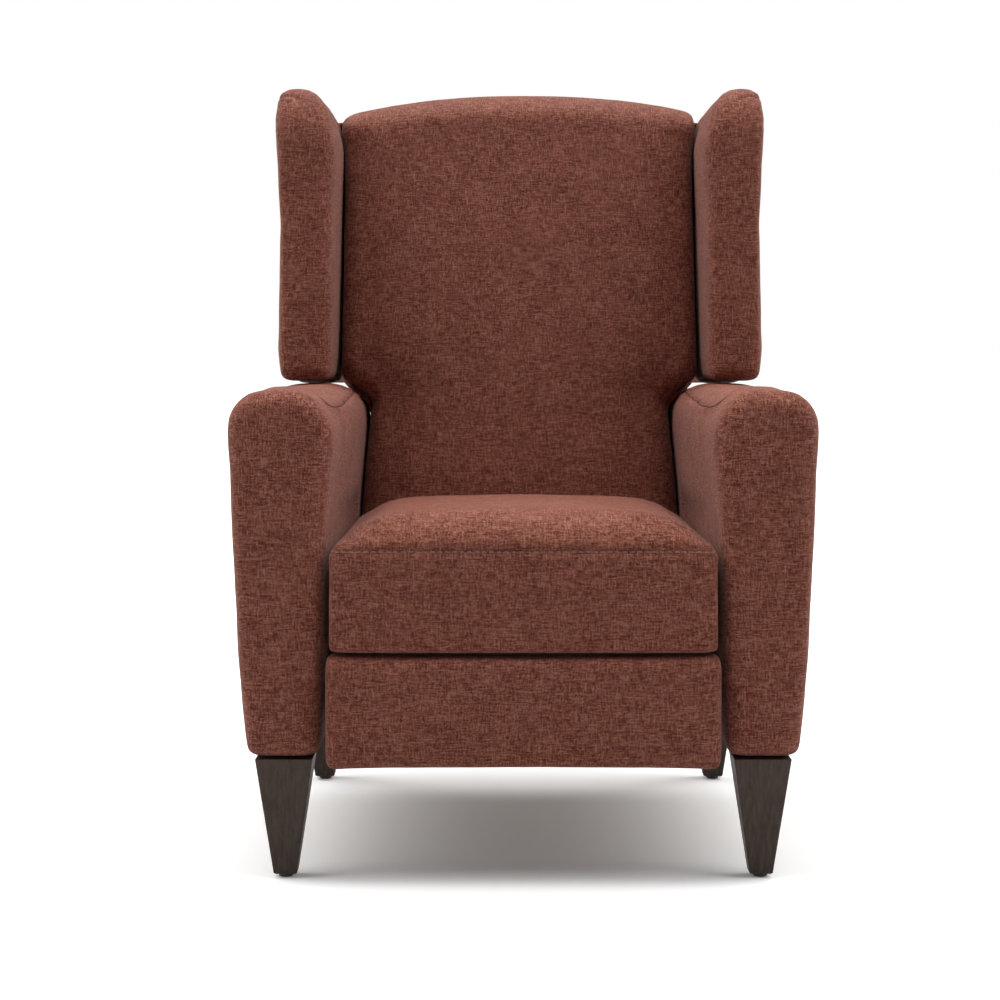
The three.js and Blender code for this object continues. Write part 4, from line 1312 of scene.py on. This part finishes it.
@dataclass
class Seat:
    """Seat cushion on its springs: boxed front border, seam along the front edge, crowned top."""

    plane: BackPlane
    half: float = 0.2503
    front: float = -0.4695
    floor: float = 0.2945
    seam: float = 0.4258
    edge: tuple[float, float] = (0.052, 0.0440)
    fall: float = 0.008
    rear_top: float = 0.455
    cushion_floor: float = 0.3464
    border: float = 0.024
    rear_depth: float = -0.2022
    slack: float = 0.0006
    even_share: float = 0.955
    end_share: float = 0.045
    fall_length: float = 0.40
    side_draw: float = 0.010
    crown_reach: float = 0.1
    crown_shares: Flat = (0.72, 0.28)

    def top_at(self, y: float) -> float:
        """Height of the top: rolled over at the front edge, a little lower towards the back.

        Args:
            y: Depth in the chair.

        Returns:
            The height in the middle of the seat.
        """
        deep, high = self.edge
        roll = 1 - min(1.0, max(0.0, (y - self.front) / deep))
        along = max(0.0, (y - self.front - deep) / self.fall_length)
        return self.seam + high * math.sqrt(1 - roll * roll) - self.fall * along

    def section(self) -> list[Flat]:
        """Side view, from the foot of the border back and over the top.

        Returns:
            Evenly spaced points (y, z).
        """
        behind = self.front + self.border
        rear_low = self.plane.y_at(self.rear_depth, self.cushion_floor)
        rear_high = self.plane.y_at(self.rear_depth, self.rear_top) - 0.020
        turns = np.linspace(0.0, 1.0, 24)
        front = [(mix(self.front, self.front + self.edge[0], t ** 1.8), 0.0) for t in turns[1:]]
        top = [(y, 0.0) for y in np.linspace(rear_high, front[-1][0], 14)[:-1]]
        over = [(y, self.top_at(y), 0.0) for y, _ in top + front[::-1]]
        foot = [(self.front, self.floor, 0.004), (behind, self.floor, 0.004),
                (behind, self.cushion_floor, 0.002), (rear_low - 0.012, self.cushion_floor, 0.006),
                (rear_high + 0.014, self.rear_top - 0.018, 0.012)]
        return spaced(rounded([*foot, *over], 8), 190)

    def ring(self, u: float) -> Ring:
        """Section at a share of the half width: crowned in the middle, drawn in at the sides.

        Args:
            u: Share of the half width, from -1 to 1.

        Returns:
            The ring's points.
        """
        end = max(0.0, abs(u) - self.even_share) / self.end_share
        draw = self.side_draw * (1 - math.sqrt(max(0.0, 1 - end * end)))
        inward = max(0.0, self.crown_reach - self.half * (1 - abs(u))) / self.crown_reach
        at_side, all_over = self.crown_shares
        crown = at_side * inward ** 2.6 + all_over * abs(u) ** 2
        rear_high = self.plane.y_at(self.rear_depth, self.rear_top)
        points = []
        for y, z in self.section():
            lift = max(0.0, z - self.seam) * crown
            forward = 1 - step(y, self.front, self.front + self.border)
            rearward = step(y, -0.024, rear_high)
            upward = step(z, self.cushion_floor, self.rear_top)
            points.append((u * (self.half - self.slack), y + (draw + self.slack) * (forward - rearward),
                           z - lift - (draw + 0.5 * self.slack) * upward))
        return points

    def rings(self) -> list[Ring]:
        """Rings from the left side to the right side.

        Returns:
            The rings, the left one first.
        """
        body = np.linspace(-self.even_share, self.even_share, 41)
        ends = [self.even_share + self.end_share * s for s in (0.35, 0.62, 0.82, 0.94, 1.0)]
        return [self.ring(u) for u in [-e for e in reversed(ends)] + list(body) + ends]

    def seam_line(self) -> np.ndarray:
        """Seam between border and top, along the front and a little round the sides.

        Returns:
            Points along the seam.
        """
        half, z = self.half - 0.001, self.seam + 0.001
        path = [(-half, self.front + 0.10, z), (-half, self.front + 0.012, z), (-half + 0.010, self.front, z),
                (half - 0.010, self.front, z), (half, self.front + 0.012, z), (half, self.front + 0.10, z)]
        return resampled(np.array(path), pitch=0.0015)

    def build(self, finishes: Finishes) -> None:
        """Makes the seat and the sewn line along its front.

        Args:
            finishes: The chair's finishes.
        """
        piece = PaddedForm("seat", self.rings(), cap=0.0085, voxel=0.0077,
                           hold=self.held).build(finishes.cloth)
        seam = Seam(self.seam_line(), depth=0.0030, width=0.0034, lip=0.0014, spread=0.010)
        seam.press(piece)
        thread = seam.thread("seat_seam", piece, finishes.pale_thread,
                             radius=0.0007, stitch=0.0070, lift=0.0007)
        seat_cloth(piece, "base", ["seat_cushion", "seat_border"])
        hang_thread(thread, "base")

    def held(self, points: np.ndarray) -> np.ndarray:
        """The cushion swells most on top, little at its front, and rests flat on the springs.

        Args:
            points: Places of the cover's points.

        Returns:
            Share of the swelling that each point keeps.
        """
        top = np.clip((points[:, 2] - 0.37) / 0.06, 0.0, 1.0)
        front = np.clip((self.front + 0.03 - points[:, 1]) / 0.02, 0.0, 1.0)
        lively = 0.35 + 0.65 * top
        return np.where(points[:, 2] < self.cushion_floor + 0.012, 0.1, lively) * (1 - 0.45 * front)


@dataclass
class Back:
    """Padded back between the wings: rolled sides and top, narrow foot between the arms."""

    plane: BackPlane
    arm: Arm
    arm_gap: float = 0.0036
    lowered_gap: float = 0.0030
    low_half: float = 0.2352
    high_half: float = 0.2832
    hug_height: float = 0.600
    rear_depth: float = -0.0548
    lumbar: float = -0.193
    head: float = -0.160
    foot: float = -0.010
    top: float = 0.834
    shoulder: float = 0.0150
    roll: float = 0.028
    top_roll: float = 0.046
    upper_rear_depth: float = -0.0250
    foot_draw: float = 0.26
    top_draw: float = 0.64
    foot_fall: float = 0.040
    side_bow: float = 0.012
    top_widening: float = 0.005
    passed_height: float = 0.42
    passed_rise: float = 0.056
    passed_loss: float = 0.29
    slack: float = 0.0004
    # Fall of the top edge at each end, and the power that it grows with
    CREST_RIGHT: ClassVar[Flat] = (0.0277, 2.3)
    CREST_LEFT: ClassVar[Flat] = (0.0338, 2.05)

    def levels(self) -> tuple[float, float]:
        """Heights of the foot and of the top."""
        return (self.plane.at(0.0, self.lumbar, self.foot)[2],
                self.plane.at(0.0, self.rear_depth, self.top)[2] - self.shoulder)

    def half_at(self, z: float) -> float:
        """Half width at a height: close to the arms and over their shoulders, wide between the wings.

        Args:
            z: Height.

        Returns:
            The half width.
        """
        top = self.levels()[1]
        # Height on the arm that this level passes when the back goes down
        passed = z + max(0.0, self.passed_rise - self.passed_loss * (z - self.passed_height))
        beside = min(self.high_half, self.arm.inner_at(z) - self.arm_gap,
                     self.arm.inner_at(passed) - self.lowered_gap)
        half = mix(self.low_half, beside, step(z, 0.36, 0.42))
        return half - self.slack + self.top_widening * step(z, top - 0.09, top - 0.02)

    def crest(self, u: float) -> float:
        """Fall of the top edge at a share of the half width, a little less on the +X side."""
        fall, power = self.CREST_RIGHT if u > 0 else self.CREST_LEFT
        return fall * abs(u) ** power

    def ring(self, z: float) -> Ring:
        """Level ring: front with rolled sides, flat rear.

        Args:
            z: Height.

        Returns:
            The ring's points.
        """
        foot, top = self.levels()
        share = (z - foot) / (top - foot)
        half = self.half_at(z)
        front = mix(self.lumbar, self.head, step(share, 0.15, 1.0)) + self.slack
        rear = mix(self.rear_depth, self.upper_rear_depth, step(share, 0.905, 0.92))
        over = min(1.0, max(0.0, z - (top - self.top_roll)) / self.top_roll)
        rounding = 1 - math.sqrt(max(0.0, 1 - over ** 2.1))
        draw = self.foot_draw * (1 - step(share, 0.0, 0.06)) + self.top_draw * rounding
        fall = self.foot_fall * (1 - min(1.0, max(0.0, (z - foot) / (self.hug_height - foot))))
        points = []
        turns = [math.sin(t * math.pi / 2) for t in np.linspace(-1, 1, 71)]
        for u in turns:
            inward = max(0.0, self.roll - half * (1 - abs(u)))
            bow = self.side_bow * abs(u) ** 2.4
            rolled = self.roll - math.sqrt(max(0.0, self.roll ** 2 - inward ** 2)) + bow
            depth = min(rear - 0.004, mix(front, rear, draw) + rolled * (1 - 0.8 * over))
            drop = self.crest(u) * share ** 6
            points.append((u * half, self.plane.y_at(depth, z - drop), z - drop))
        for u in reversed(turns):
            drop = fall + self.crest(u) * share ** 6
            points.append((u * half, self.plane.y_at(rear, z - drop), z - drop))
        return points

    def rings(self) -> list[Ring]:
        """Rings from the foot to the top.

        Returns:
            The rings, the lowest one first.
        """
        foot, top = self.levels()
        start = 1 - self.top_roll / (top - foot)
        turns = np.sin(np.linspace(0.06, 1, 14) * math.pi / 2)
        shares = [*np.linspace(0.0, start, 60), *(start + (1 - start) * turns)]
        return [self.ring(mix(foot, top, s)) for s in shares]

    def held(self, points: np.ndarray) -> np.ndarray:
        """The back swells at its front only; its rear lies on the webbing."""
        rear = np.array([self.plane.y_at(self.rear_depth - 0.02, z) for z in points[:, 2]])
        return np.where(points[:, 1] > rear, 0.12, 1.0)

    def build(self, finishes: Finishes) -> None:
        """Makes the back cushion.

        Args:
            finishes: The chair's finishes.
        """
        piece = PaddedForm("back_rest", self.rings(), cap=0.010, voxel=0.0103,
                           hold=self.held).build(finishes.cloth)
        seat_cloth(piece, "back", ["back_cushion"])


@dataclass
class OutsideBack:
    """Cloth-covered tray over the rear of the back, with a stitched border."""

    plane: BackPlane
    low_half: float = 0.236
    high_half: float = 0.3655
    cushion_half: float = 0.279
    foot: float = -0.010
    step_rise: float = 0.3490
    top: float = 0.8270
    front: float = -0.024
    rear: float = 0.036
    wall: float = 0.008
    ease: float = 0.013
    groove: float = 0.016
    groove_shift: float = 0.006
    crest_fall: float = 0.042
    slant: Flat = (0.048, 0.055)

    def crest(self, x: float) -> float:
        """Rise of the top edge at a distance from the middle."""
        return self.top - self.crest_fall * (min(abs(x), self.cushion_half) / self.cushion_half) ** 2

    def outline(self, inset: float) -> list[Flat]:
        """Rear view (x, rise) drawn in by a distance: wide behind the wings, narrow between the arms.

        Args:
            inset: Distance drawn in.

        Returns:
            Points of the outline.
        """
        run, rise = self.slant
        low, high = self.low_half - inset, self.high_half - inset
        foot, ledge = self.foot + inset, self.step_rise + inset
        side = self.crest(self.cushion_half) - 0.003 - inset
        small, middle, large = (max(0.0015, radius - inset) for radius in (0.010, 0.016, 0.030))
        arc = [(x, self.crest(x) - inset, 0.10) for x in np.linspace(0.26, -0.26, 9)]
        return rounded([
            (-low, foot, small), (low, foot, small), (low, ledge - rise, 0.04),
            (low + run, ledge, 0.004 + inset), (high, ledge, middle), (high, side, large), *arc,
            (-high, side, large), (-high, ledge, middle), (-low - run, ledge, 0.004 + inset),
            (-low, ledge - rise, 0.04)], 7)

    def ring(self, inset: float, depth: float) -> Ring:
        """Outline drawn in and placed at a depth; below the step only the rear board is left.

        Args:
            inset: Distance drawn in.
            depth: Depth from the back's pivot plane.

        Returns:
            The ring's points.
        """
        board = self.rear - self.wall
        return [self.plane.at(x, depth if rise > self.step_rise - 0.001 else max(depth, board), rise)
                for x, rise in self.outline(inset)]

    def groove_inset(self, share: float) -> float:
        """Distance drawn in at a share of the way to the stitched groove."""
        return self.ease + share * self.groove - self.groove_shift

    def rings(self) -> list[Ring]:
        """Rings from the inside of the board, over the walls, to the middle of the rear face.

        Returns:
            The rings, the inner one first.
        """
        board = self.rear - self.wall
        rings = [self.ring(self.wall + 0.004, board), self.ring(self.wall, board - 0.0002)]
        rings += [self.ring(self.wall, self.front + 0.003), self.ring(self.wall - 0.001, self.front + 0.001),
                  self.ring(self.wall / 2, self.front), self.ring(0.001, self.front + 0.001)]
        rings += [self.ring(0.0, mix(self.front + 0.003, self.rear - self.ease, s))
                  for s in np.linspace(0, 1, 6)]
        rings += [self.ring(self.ease * (1 - math.cos(a)), self.rear - self.ease * (1 - math.sin(a)))
                  for a in np.linspace(0.2, math.pi / 2, 8)]
        for share, sunk in ((0.8, 0.0), (0.93, 0.0007), (1.0, 0.0016), (1.07, 0.0007), (1.2, 0.0)):
            rings.append(self.ring(self.groove_inset(share), self.rear - sunk))
        return rings

    def border(self) -> np.ndarray:
        """Line of stitches round the rear face."""
        loop = self.ring(self.groove_inset(1.0), self.rear)
        return np.array([*loop, loop[0]])

    def build(self, finishes: Finishes) -> None:
        """Makes the tray and its stitched line.

        Args:
            finishes: The chair's finishes.
        """
        piece = mesh_piece("outside_back_panel", *skin(self.rings()), finishes.cloth)
        seat_cloth(piece, "back", ["outside_back"])
        seam = Seam(resampled(self.border(), pitch=0.003))
        thread = seam.thread("outside_back_seam", piece, finishes.dark_thread,
                             radius=0.0006, stitch=0.004, lift=0.0003)
        hang_thread(thread, "back")


@dataclass
class FootrestPanel:
    """Padded panel that closes the front under the seat."""

    half: float = 0.2548
    bottom: float = 0.1463
    top: float = 0.2925
    front: float = -0.4698
    depth: float = 0.0455
    corner: float = 0.009
    edge: float = 0.011
    rear_edge: float = 0.003
    slack: float = 0.0004

    def outline(self) -> list[Flat]:
        """Front view of the panel.

        Returns:
            Evenly spaced points (x, z).
        """
        half = self.half - self.slack
        low, high = self.bottom + self.slack, self.top - self.slack
        return spaced(rounded([(-half, low, self.corner), (half, low, self.corner),
                               (half, high, self.corner), (-half, high, self.corner)], 8), 220)

    def ring(self, behind: float, inset: float) -> Ring:
        """Outline at a distance behind the front face, drawn in by a distance."""
        return [(x, self.front + self.slack + behind, z) for x, z in drawn_in(self.outline(), inset)]

    def rings(self) -> list[Ring]:
        """Rings from the front face to the rear.

        Returns:
            The rings, the front one first.
        """
        thick = self.depth - self.slack
        front = [self.ring(behind, inset) for behind, inset in edge_stations(self.edge)]
        body = [self.ring(mix(self.edge, thick - self.rear_edge, s), 0.0) for s in (0.25, 0.5, 0.75, 1.0)]
        rear = [self.ring(thick - behind, inset)
                for behind, inset in reversed(edge_stations(self.rear_edge, 3))]
        return front + body + rear

    def held(self, points: np.ndarray) -> np.ndarray:
        """The panel swells at its front only; its rear lies on the board."""
        return 1.0 - 0.95 * (points[:, 1] > self.front + self.depth - 0.022)

    def build(self, finishes: Finishes) -> None:
        """Makes the panel pad.

        Args:
            finishes: The chair's finishes.
        """
        piece = PaddedForm("footrest_cushion", self.rings(), cap=0.005, voxel=0.0056,
                           hold=self.held).build(finishes.cloth)
        seat_cloth(piece, "footrest", ["footrest_pad"])


@dataclass
class Leg:
    """Square leg that tapers to its foot, with eased edges, on a nylon glide."""

    height: float = 0.1577
    glide: float = 0.005
    top_half: float = 0.037
    foot_half: float = 0.015
    x: float = 0.308
    front_y: float = -0.412
    rear_y: float = 0.228
    ease: float = 0.0016
    glide_radius: float = 0.0094
    glide_sides: int = 28

    def shaft(self, y: float) -> list[Ring]:
        """Rings of the leg from foot to top.

        Args:
            y: Depth of the leg's middle.

        Returns:
            The rings.
        """
        rings = []
        levels = ((0.0, self.ease), (0.010, 0.0), (0.5, 0.0), (0.996, 0.0), (1.0, self.ease * 0.6))
        for share, inset in levels:
            half = mix(self.foot_half, self.top_half, share) - inset
            outline = rounded([(-half, -half, self.ease), (half, -half, self.ease),
                               (half, half, self.ease), (-half, half, self.ease)], 3)
            z = mix(self.glide, self.height, share)
            rings.append([(self.x + u, y + v, z) for u, v in outline])
        return rings

    def foot(self, y: float) -> list[Ring]:
        """Rings of the glide.

        Args:
            y: Depth of the leg's middle.

        Returns:
            The rings, the lowest one first.
        """
        rings = []
        for z, inset in ((0.0, 0.0012), (0.0012, 0.0), (self.glide - 0.0003, 0.0)):
            radius = self.glide_radius - inset
            turns = [2 * math.pi * k / self.glide_sides for k in range(self.glide_sides)]
            rings.append([(self.x + radius * math.cos(t), y + radius * math.sin(t), z) for t in turns])
        return rings

    def build(self, finishes: Finishes) -> None:
        """Makes the four legs and glides.

        Args:
            finishes: The chair's finishes.
        """
        for where, y in (("front", self.front_y), ("rear", self.rear_y)):
            for kind, rings, finish, slot in (("leg", self.shaft(y), finishes.leg_wood, "dark_wood"),
                                              ("glide", self.foot(y), finishes.nylon, "nylon")):
                right = mesh_piece(f"{kind}_{where}_right_shown", *skin(rings), finish)
                left = mirror_of(right, f"{kind}_{where}_left_shown")
                for side, piece in ((Side.RIGHT, right), (Side.LEFT, left)):
                    piece.data.polygons.foreach_set("use_smooth", [False] * len(piece.data.polygons))
                    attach(piece, "base")
                    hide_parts(f"{kind}_{where}_{side.label}")
                    LOG.info("%s", piece.name)


class Framework:
    """Frame, springs and linkage that show from below and when the chair opens."""

    GROUPS: ClassVar[dict[str, tuple[str, ...]]] = {
        "rail_wood": ("arm_frame", "mid_cross_rail", "rear_cross_rail", "seat_side_rail", "seat_front_rail",
                      "seat_rear_rail", "footrest_board", "back_post", "back_lower_rail", "back_middle_rail",
                      "back_upper_rail", "wing_frame"),
        "steel": ("side_plate", "main_link", "link_cross_tube", "guide_link", "reach_link", "control_link",
                  "footrest_bracket", "back_bracket"),
        "wire": ("seat_spring",),
        "webbing": ("back_strap",),
    }

    def dress(self, finishes: Finishes) -> None:
        """Gives every carried-over solid its finish.

        Args:
            finishes: The chair's finishes.
        """
        for name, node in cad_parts.items():
            for finish, starts in self.GROUPS.items():
                if name.startswith(starts):
                    material = getattr(finishes, finish)
                    for slot in node.material_slots:
                        slot.material = material
                    LOG.info("%s: %s", name, material.name)


# Studio


@dataclass
class Studio:
    """White room with soft overhead light and the photograph's camera."""

    camera_place: Point = (-0.030, -3.259, 0.691)
    lens: float = 78.8
    drop: float = 0.156
    sky: float = 0.02
    key: float = 1.4
    key_spread: float = 40.0
    side: float = 2.15
    side_spread: float = 60.0
    lean: float = 40.0
    behind: float = 5.0
    fill: float = 1.8
    fill_size: Flat = (3.0, 2.0)
    fill_place: Point = (0.0, -3.6, 1.9)
    fill_tilt: float = 68.0
    floor_reach: float = 30.0
    floor_shade: float = 0.55
    floor_seen: float = 1.1
    floor_glow: float = 0.125

    def floor(self) -> None:
        """Pale floor that keeps the chair's shadow."""
        reach = self.floor_reach
        corners = [(-reach, -reach, 0), (reach, -reach, 0), (reach, reach, 0), (-reach, reach, 0)]
        mesh_piece("floor", corners, [(0, 1, 2, 3)], self.floor_finish())

    def floor_finish(self) -> bpy.types.Material:
        """White floor, a plain pale grey to all light but the view's.

        Returns:
            The material.
        """
        sheet = NodeSheet("studio_floor")
        seen = self.seen_directly(sheet.tree)
        tone = sheet.span(seen, 0.0, 1.0, self.floor_shade, self.floor_seen)
        sheet.set_surface("Base Color", sheet.place(tone, tone, tone))
        sheet.set_surface("Emission Color", (1.0, 1.0, 1.0, 1.0))
        sheet.set_surface("Emission Strength", sheet.math("MULTIPLY", seen, self.floor_glow))
        sheet.set_surface("Roughness", 1.0)
        sheet.set_surface("Specular IOR Level", 0.0)
        return sheet.material

    @staticmethod
    def seen_directly(tree: bpy.types.NodeTree) -> bpy.types.NodeSocket:
        """1 for rays of the view and of mirror and glass, 0 for those that light the chair.

        Args:
            tree: Node tree that takes the nodes.

        Returns:
            The socket with the number.
        """
        path = tree.nodes.new("ShaderNodeLightPath").outputs
        beyond = sum_node(tree, "MAXIMUM", path["Is Glossy Ray"], path["Is Transmission Ray"])
        return sum_node(tree, "MAXIMUM", path["Is Camera Ray"], beyond)

    def world(self) -> None:
        """White surroundings."""
        world = bpy.data.worlds.new("studio")
        bpy.context.scene.world = world
        world.use_nodes = True
        tree = world.node_tree
        ground = tree.nodes["Background"]
        ground.inputs["Color"].default_value = (1.0, 1.0, 1.0, 1.0)
        direct = sum_node(tree, "MULTIPLY", self.seen_directly(tree), 1.0 - self.sky)
        feed(tree, ground.inputs["Strength"], sum_node(tree, "ADD", self.sky, direct))

    def lights(self) -> None:
        """Wide overhead light from a little behind, one at each side, and a weak one from the front."""
        suns = (("overhead", self.key, self.key_spread, 0.0),
                ("side_right", self.side, self.side_spread, self.lean),
                ("side_left", self.side, self.side_spread, -self.lean))
        for name, energy, spread, roll in suns:
            sun = bpy.data.lights.new(name, "SUN")
            sun.energy = energy
            sun.angle = math.radians(spread)
            lamp = linked_object(name, sun)
            lamp.rotation_euler = (math.radians(-self.behind), math.radians(roll), 0)
        soft = bpy.data.lights.new("front_fill", "AREA")
        soft.energy = self.fill
        soft.shape = "RECTANGLE"
        soft.size, soft.size_y = self.fill_size
        near = linked_object("front_fill", soft)
        near.location = self.fill_place
        near.rotation_euler = (math.radians(self.fill_tilt), 0, 0)

    def camera(self) -> None:
        """Camera at the photograph's place."""
        data = bpy.data.cameras.new("view")
        data.lens = self.lens
        data.sensor_width = 36.0
        data.shift_y = -self.drop
        camera = linked_object("view", data)
        camera.location = self.camera_place
        camera.rotation_euler = (math.radians(90), 0, 0)
        bpy.context.scene.camera = camera

    def build(self) -> None:
        """Sets the room up."""
        self.floor()
        self.world()
        self.lights()
        self.camera()
        bpy.context.scene.view_settings.view_transform = "Standard"
        LOG.info("studio ready")


def main() -> None:
    """Builds the chair piece by piece, then the room."""
    logging.basicConfig(level=logging.INFO, format="%(message)s")
    finishes = Finishes()
    plane = BackPlane()
    Studio().build()
    Framework().dress(finishes)
    Leg().build(finishes)
    arm = Arm()
    arm.build(finishes)
    Seat(plane).build(finishes)
    Back(plane, arm).build(finishes)
    OutsideBack(plane).build(finishes)
    Wing(plane).build(finishes)
    FootrestPanel().build(finishes)


if __name__ == "__main__":
    main()
